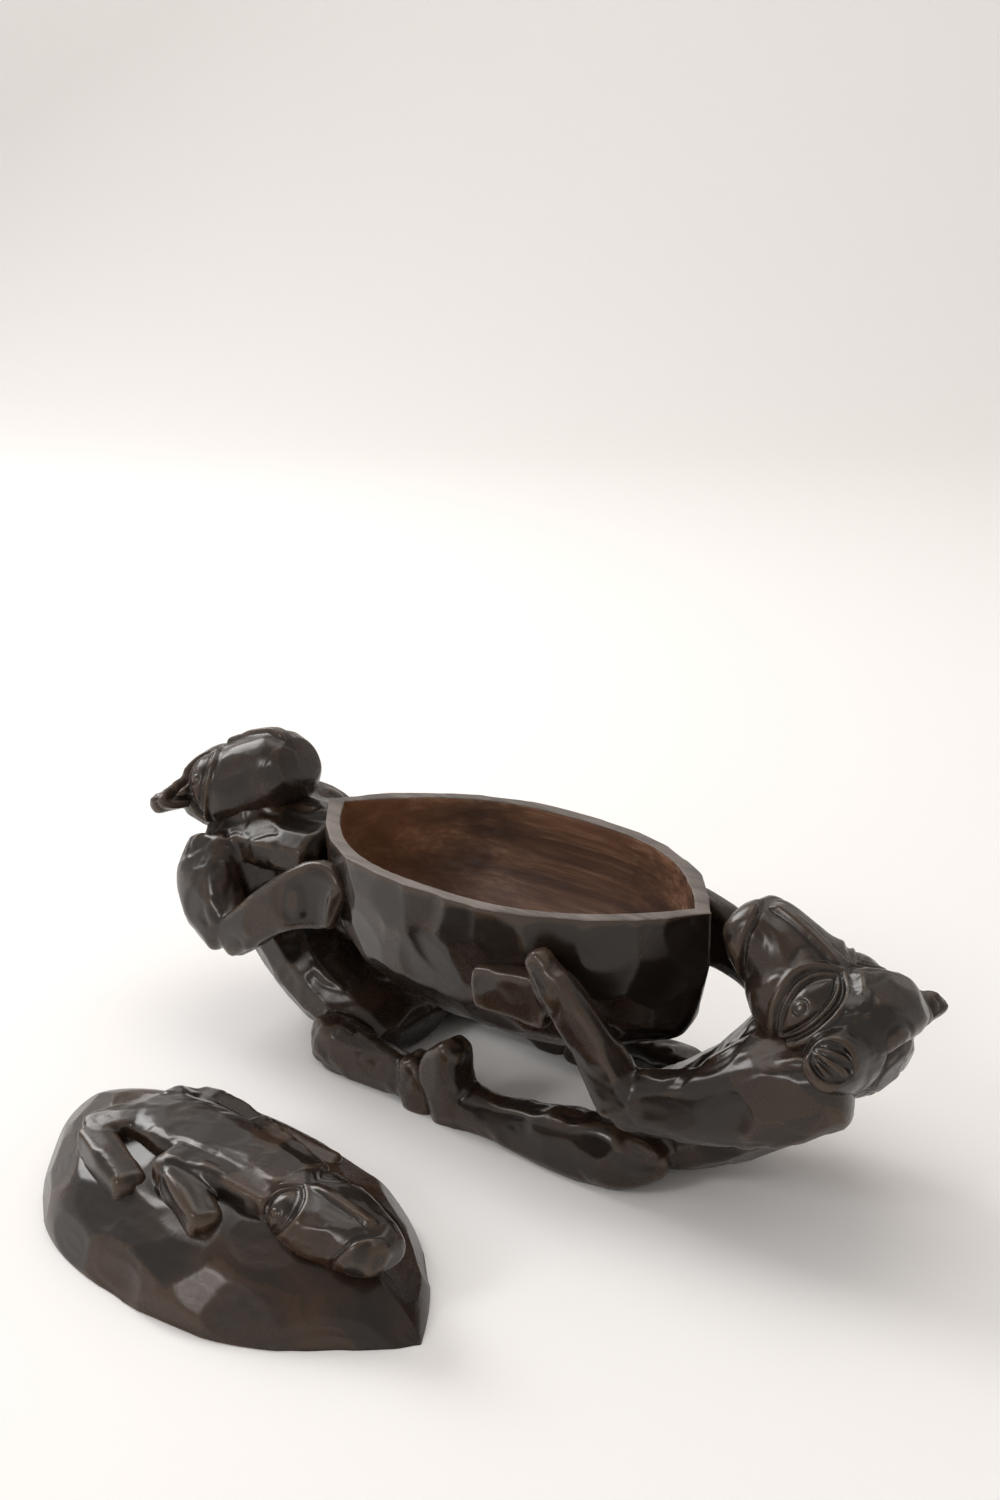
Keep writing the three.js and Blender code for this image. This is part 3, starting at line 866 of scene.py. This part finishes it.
headForm = {
    "firstRounds": 8,
    "moreRounds": 2,
    "calmEye": (0.25, 0.75, -1, 3),          # cuts are shallower round the eye
    "calmEar": (0.8, 22, 27),
    "calmMuzzle": (0.6, 26, 34),
    "ends": 0.36,
    "earEnds": 0.6,
    "cuts": {"size": 9.5, "tilt": 0.045, "bite": 0.12, "deepest": 0.5, "proudest": 0.8,
             "stretch": (1, 1, 1), "soften": 2},
}
skullOutline = [(0, 1), (0.26, 0.99), (0.6, 0.86), (0.87, 0.52), (1, 0.06), (0.95, -0.48), (0.62, -0.9),
                (0.2, -1.02)]


def aroundHead(place, co):
    t, s, h = place.local(co)
    return t, s, h, np.degrees(np.arctan2(h - faceForm["axisHeight"], np.abs(s)))


# how far outside (above zero) or inside an almond round the head a point lies
def almondEdge(t, angle, size, along):
    middle, half, width = size
    a = (angle - middle) / half
    inside = np.abs(t - along) - width * np.clip(1 - a * a, faceForm["almondTip"], 1)
    beyond = np.clip(np.abs(a) - 1, 0, None) * half * faceForm["almondBeyond"]
    return np.where(np.abs(a) > 1, np.hypot(beyond, np.abs(t - along)), inside)


def foreheadEdge(angle, shift):
    return np.interp(angle, faceForm["foreheadAngle"], faceForm["foreheadAlong"]) + shift


# the height of some lines, each across its own place
def drawn(far, *lines):
    return sum(height * ridge(far - place, width) for place, width, height in lines)


# the larger forms of a face: domed forehead and hollow ears
def faceForms(mesh, place, head):
    face, ear = faceForm, earForm
    co, normals = placesOf(mesh), normalsOf(mesh)
    t, s, h, angle = aroundHead(place, co)
    unit = place.scale[1]
    shift = head["eye"] - face["eyeAlong"]
    back, front = face["domeBack"]
    side, top = face["domeShare"]
    dome = step(foreheadEdge(angle, shift) - t, 0, face["domeEdge"]) * step(t, back, front + shift)
    dome = dome * step(angle, *face["domeSide"])
    out = head["dome"] * dome * (side + top * step(angle, *face["domeTop"]))
    co = co + normals * (out * unit)[:, None]
    if head["ears"]:
        middle, away, wide, long = ear["hollow"]
        turnUp, turnOut = math.cos(ear["turn"]), math.sin(ear["turn"])
        toward = place.ways[2] * turnUp + place.ways[1] * (np.sign(s) * turnOut)[:, None]
        across = np.abs(s) * turnUp - h * turnOut
        far = np.hypot((t - middle) / wide, (across - away) / long)
        opening = step((normals * toward).sum(1), *ear["facing"]) * step(np.abs(s), *ear["start"])
        outward, onward = ear["fan"]
        firstRib, ribSpace = ear["rib"]
        fan = np.degrees(np.arctan2(across - away - outward, middle + wide + onward - t))
        ribs = 0.5 + 0.5 * np.cos(2 * math.pi * (fan - firstRib) / ribSpace)
        standing = 1 - ear["ribShare"] * ribs * step(1 - far, *ear["ribEdge"])
        deep = ear["deep"] * step(1 - far, *ear["edge"]) * standing
        co = co + toward * ((drawn(far, ear["rim"]) - deep) * opening * unit * head["scoop"])[:, None]
    setPlaces(mesh, co)


# the cut lines of a face: brow, lid and eyeball rings, pupil, nose ridge, mouth, forehead's edge
def faceLines(mesh, place, head):
    face = faceForm
    co, normals = placesOf(mesh), normalsOf(mesh)
    t, s, h, angle = aroundHead(place, co)
    shift = head["eye"] - face["eyeAlong"]
    toNear = -s * head["shown"]
    almonds = ("brow", "lid", "eyeball")
    brow, lid, eyeball = (almondEdge(t, angle, face[label], head["eye"]) for label in almonds)
    out = drawn(brow, (*face["browRidge"], head["brow"]), (*face["browGroove"], -head["sunk"]))
    out += drawn(lid, *face["lidLines"])
    width, height = face["eyeballRise"]
    out += height * np.sqrt(step(-eyeball, 0, width))
    pupilAlong, pupilSide, pupilUp, radius = face["pupil"]
    fromPupil = np.sqrt((t - pupilAlong - shift) ** 2 + (np.abs(s) - pupilSide) ** 2 + (h - pupilUp) ** 2)
    out += drawn(fromPupil - radius, face["pupilLine"]) * (brow < 0)

    mouth = np.interp(angle, face["mouthAngle"], face["mouthAlong"]) + head["mouthShift"]
    noseFrom, noseFull = face["noseStart"]
    fadeFrom, fadeTo = face["noseStop"]
    nose = 1 - step(np.abs(s), face["noseHalf"] - face["noseSide"], face["noseHalf"])
    nose = nose * step(t, noseFrom + shift, noseFull + shift) * step(h, *face["noseHeight"])
    nose = nose * (1 - step(t, mouth + fadeFrom, mouth + fadeTo))
    out += face["noseRise"] * nose
    least, more, soft = face["farMouth"]
    front = step(angle, *face["mouthSide"]) * head["mouth"] * (least + more * step(toNear, -soft, soft))
    out += face["lipRise"] * step(t - mouth, *face["lipEdge"]) * front
    out += drawn(t - mouth, face["behindLip"]) * front * (1 - nose)
    out += drawn(t - mouth, face["mouthLine"]) * front
    openSide = step(angle, *face["foreheadSide"]) * (brow > -0.5)
    out += drawn(t - foreheadEdge(angle, shift), face["foreheadLine"]) * openSide
    least, more, soft = face["farSide"]
    near = least + more * step(toNear, -soft, soft)
    setPlaces(mesh, co + normals * (out * place.scale[1] * head["lines"] * near)[:, None])
    relax(mesh, 1)


# a skull through its stations, with a bar for each ear
def skullBar(name, stations, place, earsBySide):
    mirrored = [(-x, y) for x, y in skullOutline[:0:-1]]
    outline = curveThrough(skullOutline + mirrored + [skullOutline[0]], 4)[:-1]
    work = bmesh.new()
    bar(work, stations, outline, place.at, (0, 1, 0), headForm["ends"])
    for side, shape in earsBySide.items():
        turned = [(t, s * side, h, w, d) for t, s, h, w, d in shape]
        bar(work, turned, squaredOutline(squareForms["usual"]), place.at, (1, 0, 0), headForm["earEnds"])
    return pieceFrom(name, work)


def carveFace(piece, place, head, voxel, wood):
    form = headForm
    voxelised(piece, voxel)
    relax(piece.data, form["firstRounds"])
    faceForms(piece.data, place, head)
    relax(piece.data, form["moreRounds"])
    t, s, h, angle = aroundHead(place, placesOf(piece.data))
    least, more, inside, outside = form["calmEye"]
    brow = almondEdge(t, angle, faceForm["brow"], head["eye"])
    calm = least + more * step(brow, inside, outside)
    if head["ears"]:
        for (share, low, high), far in ((form["calmEar"], np.abs(s)), (form["calmMuzzle"], t)):
            calm = calm * (1 - share * step(far, low, high))
    carve(piece, wood, form["cuts"], head["seed"], place.scale[1], calm)
    faceLines(piece.data, place, head)
    markEdges(piece.data, voxel)


# The bearers. A figure's own frame: outward from the middle of the bowl, sideways (the low
# arm's side is below zero) and up.
figureForm = {
    "voxel": 0.95 * mm,
    "headVoxel": 0.6 * mm,
    "grow": 0.3 * mm,
    "closing": 1.9 * mm,      # clefts narrower than twice this are filled
    "rounds": 7,
    "cuts": {"size": 11, "tilt": 0.045, "bite": 0.15, "deepest": 0.6, "proudest": 0.8,
             "stretch": (1, 1, 1), "soften": 2},
    "seedShift": 5,
}
rightHead = {
    "reach": 185 * mm, "height": 80 * mm, "tilt": math.radians(29), "seed": 21,
    "dome": 3.8, "eye": 28, "mouth": 1.0, "mouthShift": 0, "lines": 1.0, "brow": 0.9, "sunk": 1.7,
    "shown": 1,               # the side that the picture shows
    "ears": "wide", "scoop": 1,
}
leftHead = {
    "reach": 188 * mm, "height": 101 * mm, "tilt": math.radians(22), "seed": 34,
    "dome": 1.0, "eye": 20, "mouth": 0.1, "mouthShift": -2, "lines": 1.0, "brow": 1.9, "sunk": 2.8,
    "shown": -1,
    "ears": "flat", "scoop": 0.3,
}
skulls = {
    "right": (
        (-6, 0, -7.5, 15, 11), (-2, 0, -8, 22, 17), (5, 0, -6.5, 28, 20.5), (14, 0, -6, 30.5, 21),
        (24, 0, -6.5, 29, 19.8), (36, 0, -7, 27, 18.8), (44.6, 0, -5.5, 23.4, 18), (51.8, 0, -3.5, 18, 16.4),
        (63.4, 0, -1, 16.6, 12.8), (70.5, 0, 0, 13.6, 9.4),
    ),
    "left": (
        (-1, 0, -3, 16, 11), (6.5, 0, -4.5, 24, 16.8), (19, 0, -6.5, 26.8, 18.8), (33, 0, -6, 26.6, 19.4),
        (43, 0, -5, 23.4, 19), (51, 0, -4.4, 20, 18), (58, 0, -4.2, 17.6, 16.2), (63.5, 0, -3.8, 14.6, 12.5),
    ),
}
ears = {
    "wide": ((7, 15, -5, 14, 15), (6, 24, -4, 12.6, 13), (5.2, 31.5, -1.6, 10.8, 10.8),
             (4.6, 38, 0.2, 8, 7.6)),
    "flat": ((7, 20, -3, 8.6, 6.4), (6.5, 27, -3.4, 8.4, 6), (5.6, 33.5, -3.6, 7.2, 5.2),
             (5, 38, -3.6, 5.4, 4.6)),
    "far": ((7, 20, -0.5, 8.6, 5.4), (5.5, 28, -1, 8.6, 5.2), (3.5, 35, -0.8, 6.4, 4.2),
            (1.2, 41.5, 0, 4.4, 3.4)),
}
rightFlesh = {
    "lowUpperArm": ((178, -27, 69, 13, 15), (156, -35, 60, 12.6, 17.5), (130, -40, 50, 10.4, 14.4),
                    (96, -44, 43, 9.4, 11.5)),
    "lowForearm": ((97, -46, 43, 8.6, 9.6), (85, -50, 65, 7.2, 8.2), (70, -53, 84, 6.2, 7.2),
                   (58, -53, 96, 4.6, 4)),
    "shoulderLow": ((134, -33, 54, 14, 15), (150, -28, 62, 17, 18.5), (160, -14, 66, 18, 18),
                    (161, 0, 66, 18, 18)),
    "highUpperArm": ((158, 24, 76, 13.5, 17), (156, 32, 62, 12, 16.5), (146, 39, 50, 11, 14),
                     (130, 43, 42, 9.6, 11.5)),
    "shoulderHigh": ((150, 28, 66, 16, 17), (158, 14, 68, 18, 18), (161, 0, 68, 18, 18)),
    "nape": ((150, 0, 56, 22, 18), (162, 0, 65, 18, 14), (167, 0, 70, 13, 10)),
}
leftFlesh = {
    "lowUpperArm": ((172, -27, 84, 13, 15), (150, -35, 75, 12.6, 17.5), (126, -40, 62, 10.4, 14.4),
                    (94, -44, 44, 9.4, 11.5)),
    "lowForearm": ((95, -46, 43, 8.6, 9.6), (84, -50, 65, 7.2, 8.2), (70, -53, 84, 6.2, 7.2),
                   (58, -53, 96, 4.6, 4)),
    "shoulderLow": ((128, -33, 70, 14, 16), (144, -28, 80, 17, 18.5), (152, -14, 84, 18, 18),
                    (153, 0, 84, 18, 18)),
    "highUpperArm": ((154, 26, 80, 12.5, 15), (151, 34, 71, 12, 17.5), (143, 40.5, 61, 11, 16),
                     (130, 44, 51, 9.6, 12)),
    "shoulderHigh": ((163, 4, 80, 22, 14), (147, 3, 85.5, 20.5, 15.5), (129, 0, 88.5, 17, 15.5),
                     (113, 0, 90.5, 12.5, 14.5), (103, 0, 91, 9.5, 13.5)),
    "nape": ((146, 0, 74, 22, 20), (156, 0, 84, 22, 18), (164, 0, 92, 18, 15)),
}
sharedFlesh = {
    "lowHand": ((61, -50.5, 77, 6, 10), (45, -51.4, 76.5, 5.6, 9.6), (29, -52, 74.5, 4.8, 8.4)),
    "highForearm": ((126, 44, 50, 8.6, 9), (112, 45, 60, 8.6, 9.4), (98, 44, 71, 7.6, 10.8),
                    (84, 41.5, 79, 6.6, 13.6), (71, 40, 83, 4.8, 15.4), (62.5, 42.4, 80, 3.6, 12)),
    "lowLeg": ((107, -33, 13, 5, 6), (99, -36.5, 13.5, 8.4, 11.4), (86, -40, 13.8, 10.6, 14.4),
               (62, -41, 12, 10.2, 13.2), (34, -41, 9.4, 8, 9.6), (14, -41, 9.4, 8, 9.8)),
    "lowFoot": ((7, -40.5, 1, 8, 10), (3, -42, 13, 8.6, 11.5), (3, -43.5, 25, 8.4, 11),
                (8.5, -45.2, 37, 6.6, 5)),
    "highLeg": ((78, 36.5, 11, 7, 10), (68, 37.5, 11, 9.5, 12.2), (47, 38.4, 10.4, 8.6, 10.6),
                (26, 38.5, 9.4, 7.4, 9), (14, 39, 9, 7.4, 8.6)),
    "highFoot": ((13.5, 39, 1, 8.4, 8.4), (15.5, 40, 11, 8.6, 8.4), (19, 41, 21, 7, 4.6)),
}
squareForms = {
    "usual": 2.3, "lowHand": 4.5, "lowFoot": 3.2, "highFoot": 3.2, "highForearm": 4.0, "highUpperArm": 3.0,
    "lowForearm": 4.0, "lowLeg": 2.6, "highLeg": 2.5, "lowUpperArm": 2.6,
}
bodyNodes = ("torso", "low_upper_arm", "low_forearm", "low_hand", "high_upper_arm", "high_forearm",
             "high_hand", "low_side_leg", "low_side_foot", "high_side_leg", "high_side_foot")


def makeBearer(label, outward, head, flesh):
    form = figureForm
    nodes = [f"{label}_figure_{part}" for part in bodyNodes]

    def toPlace(point):
        return bowlMiddle + Vector((outward * point[0], outward * point[1], point[2])) * mm

    torso = grownCopy("torsoCopy", nodes[0], form["closing"])
    limbs = barPiece("limbs", {**sharedFlesh, **flesh}, squareForms, toPlace)
    swollen(limbs.data, form["closing"])
    body = joined(f"{label}BearerBody", torso, limbs)
    fused(body, form)
    carve(body, darkWood, form["cuts"], head["seed"] + form["seedShift"])
    sitDown(body.data)
    markEdges(body.data, form["voxel"])
    finished(body, "base", "dark_carving", *nodes)

    tilt, shown = head["tilt"], head["shown"]
    crown = bowlMiddle + Vector((outward * head["reach"], 0, head["height"]))
    place = Place(crown, (-outward * math.cos(tilt), 0, math.sin(tilt)), (0, outward, 0))
    bothEars = {-shown: ears[head["ears"]], shown: ears["far"]}
    skull = skullBar(f"{label}BearerHead", skulls[label], place, bothEars)
    carveFace(skull, place, head, form["headVoxel"], darkWood)
    finished(skull, "base", "dark_carving", f"{label}_figure_head")


makeBearer("right", 1, rightHead, rightFlesh)
makeBearer("left", -1, leftHead, leftFlesh)


# The lid, a dome over the same lens, with a figure in relief. Its stations are in its own frame.
lidForm = {
    "turn": math.radians(-4),
    "crest": 36 * mm,
    "lowest": 0.02,           # of the crest, so that no rib is flat
    "tailFullness": 6.5,
    "headFullness": 3,
    "wall": 5 * mm,
    "tipWall": 9 * mm,
    "floor": 5 * mm,
    "length": 210 * mm,
    "width": 111.4 * mm,
    "ribs": 210,
    "parts": 120,
    "spacing": 1.2 * mm,
    "rimDrop": 0.4 * mm,
    "rimRows": ((0.03, 0.3), (0.1, 0.4), (0.5, 0.4), (0.9, 0.4), (0.97, 0.3)),
    "fullness": 2,
    "keel": 0.7,              # the dome ends in a keel at the head's tip,
    "tailKeel": 0.35,         # and is a little keeled at the other
    "keelFrom": (0.3, 0.85),
    "outsideCuts": {"size": 15, "tilt": 0.06, "bite": 0.25, "deepest": 1.4, "proudest": 0.9,
                    "stretch": (0.8, 1, 1), "soften": 0},
    "seeds": (6, 8),
}
reliefForm = {
    "voxel": 0.8 * mm,
    "grow": 0.3 * mm,
    "closing": 0.8 * mm,
    "rounds": 3,
    "sunk": 3 * mm,           # how deep the relief stands in the dome's wall
    "cuts": {"size": 10, "tilt": 0.04, "bite": 0.1, "deepest": 0.4, "proudest": 0.6,
             "stretch": (1, 1, 1), "soften": 3, "seed": 17},
    "headVoxel": 0.6 * mm,
    "headPlace": (34, 0, 37),
    "headWay": (0.995, 0, -0.1),
    "headScale": (0.847, 0.68, 0.54),
}
lidHead = {
    "seed": 51, "dome": 0.8, "eye": 17, "mouth": 1.0, "mouthShift": -8, "lines": 0.9, "brow": 0.9,
    "sunk": 1.7, "shown": 1, "ears": None, "scoop": 0,
}
lidFlesh = {
    "trunk": ((-60, 0, 28, 11, 6), (-42, 0, 33, 15, 8), (-18, 0, 35, 18, 8), (12, 0, 36, 14.5, 8),
              (40, 0, 35, 14, 8)),
    "nearUpperArm": ((40, -12, 33.5, 5.6, 6.5), (17, -15.5, 36, 5.4, 6.4), (-6, -20.5, 36, 6.4, 6.2)),
    "nearForearm": ((-6, -21.5, 35, 6.6, 6.4), (10, -26.5, 33, 6.8, 6.2), (26, -31, 28.5, 6, 6)),
    "nearThigh": ((-41, -6, 34, 8.5, 7), (-49, -16, 33, 7.6, 7), (-52, -23, 31, 7, 7)),
    "nearShin": ((-50, -24.5, 30, 7.2, 7), (-33, -29.5, 29, 6.8, 7), (-16, -33.5, 27, 6, 6)),
    "farUpperArm": ((38, 12, 33.5, 5, 6.5), (17, 15, 36, 4.8, 6.2), (-5, 19, 34, 5.6, 6)),
    "farForearm": ((-6, 20.5, 33, 6, 6), (10, 25, 29.5, 6, 6), (26, 30, 24.5, 5.6, 6)),
    "farThigh": ((-42, 8, 34, 7.5, 7), (-45, 14, 32, 6.8, 7), (-46, 19.5, 29.5, 6.4, 7)),
    "farShin": ((-44, 21.5, 29.5, 6.6, 7), (-28, 22.5, 31.5, 6, 7), (-12, 23.5, 30, 5.6, 6)),
}
lidSquare = {"usual": 4.5, "trunk": 3.0}


def makeLid():
    form = lidForm
    halfLength, halfWidth = form["length"] / 2, form["width"] / 2
    spin = Matrix.Rotation(form["turn"], 3, "Z")

    def heightAt(x, less=0.0):
        t = np.minimum(1, np.abs(x) / halfLength)
        fullness = np.where(x < 0, form["tailFullness"], form["headFullness"])
        return (form["crest"] - less) * np.maximum(form["lowest"], 1 - t ** fullness)

    def keeled(t):
        low, high = form["keelFrom"]
        return form["fullness"] - form["keel"] * step(t, low, high) - form["tailKeel"] * step(-t, low, high)

    shell = makeShell("carvedLid", form, halfLength, halfWidth, 0, 1, keeled, heightAt,
                      spin, lidMiddle, lidWood)
    finished(shell, "lid", "dark_carving", "lid_shell")
    makeRelief(shell, spin)


def makeRelief(shell, spin):
    form = reliefForm
    limbs = [f"lid_figure_{side}_{part}" for side in ("near", "far")
             for part in ("upper_arm", "forearm", "thigh", "shin")]

    def toPlace(point):
        return lidMiddle + spin @ (Vector(point) * mm)

    figure = barPiece("lidRelief", lidFlesh, lidSquare, toPlace)
    swollen(figure.data, form["closing"])
    fused(figure, form)
    carve(figure, lidWood, form["cuts"], form["cuts"]["seed"])
    keptInWall(figure.data, shell.data, form["sunk"])
    markEdges(figure.data, form["voxel"])
    finished(figure, "lid", "dark_carving", "lid_figure_trunk", *limbs)

    forward, side = spin @ Vector(form["headWay"]), spin @ Vector((0, 1, 0))
    place = Place(toPlace(form["headPlace"]), forward, side, form["headScale"])
    skull = skullBar("lidReliefHead", skulls["left"], place, {})
    carveFace(skull, place, lidHead, form["headVoxel"], lidWood)
    keptInWall(skull.data, shell.data, form["sunk"])
    finished(skull, "lid", "dark_carving", "lid_figure_head")


makeLid()


studio = {
    "floorColour": (0.94, 0.905, 0.88, 1),
    "floorRough": 0.75,
    "floorSize": 6.0,
    "sweepStart": 1.6,
    "sweepRadius": 0.9,
    "sweepParts": 12,
    "world": (1.0, 0.985, 0.965, 1),
    "skyLow": 0.86,
    "skyHigh": 0.46,
    "skyTop": 0.85,
    "lens": 72,
    "sensor": 36,
    "clip": (0.05, 30),
    "cameraPlace": (505.3, -614.9, 426.2),      # from the middle of the bowl, in mm
    "cameraTurn": (math.radians(90 - 18.78), 0, math.radians(39.66)),
    "lamps": (                                  # place, aim, width, height, power and colour
        ("windowLeft", (-1.5, 0.1, 1.15), (0, 0, 0.05), 0.8, 1.0, 17, (0.97, 0.985, 1)),
        ("windowFront", (-0.35, -1.75, 1.25), (0, 0, 0.05), 0.5, 0.5, 9, (0.96, 0.98, 1)),
        ("lampAbove", (-0.35, 0.6, 1.9), (0, 0.1, 0.05), 1.5, 1.2, 8, (1, 0.98, 0.95)),
    ),
}


# a floor that sweeps up behind the object, as the camera sees it
def makeFloor():
    size, radius, start = studio["floorSize"], studio["sweepRadius"], studio["sweepStart"]
    parts = studio["sweepParts"]
    profile = [(-size, 0.0)]
    for i in range(parts + 1):
        angle = math.pi / 2 * i / parts
        profile.append((start + radius * math.sin(angle), radius * (1 - math.cos(angle))))
    profile.append((start + radius, size))
    mesh = bpy.data.meshes.new("floorSweep")
    toward = Matrix.Rotation(studio["cameraTurn"][2], 3, "Z")
    points = [toward @ Vector((x, y, z)) for y, z in profile for x in (-size, size)]
    mesh.from_pydata(points, [], [(2 * i, 2 * i + 1, 2 * i + 3, 2 * i + 2) for i in range(len(profile) - 1)])
    shadeSmooth(mesh)
    material, tree, shader = startMaterial("paleFloor")
    shader.inputs["Base Color"].default_value = studio["floorColour"]
    shader.inputs["Roughness"].default_value = studio["floorRough"]
    mesh.materials.append(material)
    newPiece("floorSweep", mesh)


# a pale sky that is a little darker overhead, and three soft lamps
def makeLight():
    world = bpy.context.scene.world or bpy.data.worlds.new("studio")
    bpy.context.scene.world = world
    world.use_nodes = True
    back = world.node_tree.nodes["Background"]
    back.inputs["Color"].default_value = studio["world"]
    sky = Tree(world.node_tree)
    direction = sky.add("ShaderNodeTexCoord", output="Generated")
    up = sky.add("ShaderNodeSeparateXYZ", None, {"Vector": direction}, output="Z")
    height = ramp(sky, up, 0.0, studio["skyTop"])
    sky.plug(back.inputs["Strength"], studio["skyLow"] - height * (studio["skyLow"] - studio["skyHigh"]))
    for name, place, aim, width, height, power, colour in studio["lamps"]:
        light = bpy.data.lights.new(name, "AREA")
        light.shape = "RECTANGLE"
        light.size, light.size_y = width, height
        light.energy = power
        light.color = colour
        lamp = bpy.data.objects.new(name, light)
        lamp.location = place
        lamp.rotation_euler = (Vector(aim) - Vector(place)).to_track_quat("-Z", "Y").to_euler()
        bpy.context.collection.objects.link(lamp)


def makeCamera():
    camera = bpy.data.cameras.new("camera")
    camera.sensor_fit = "HORIZONTAL"
    camera.sensor_width = studio["sensor"]
    camera.lens = studio["lens"]
    camera.clip_start, camera.clip_end = studio["clip"]
    eye = bpy.data.objects.new("camera", camera)
    eye.location = bowlMiddle + Vector(studio["cameraPlace"]) * mm
    eye.rotation_euler = studio["cameraTurn"]
    bpy.context.collection.objects.link(eye)
    bpy.context.scene.camera = eye
    bpy.context.scene.view_settings.view_transform = "Standard"


makeFloor()
makeLight()
makeCamera()
print("floor, light and camera made")
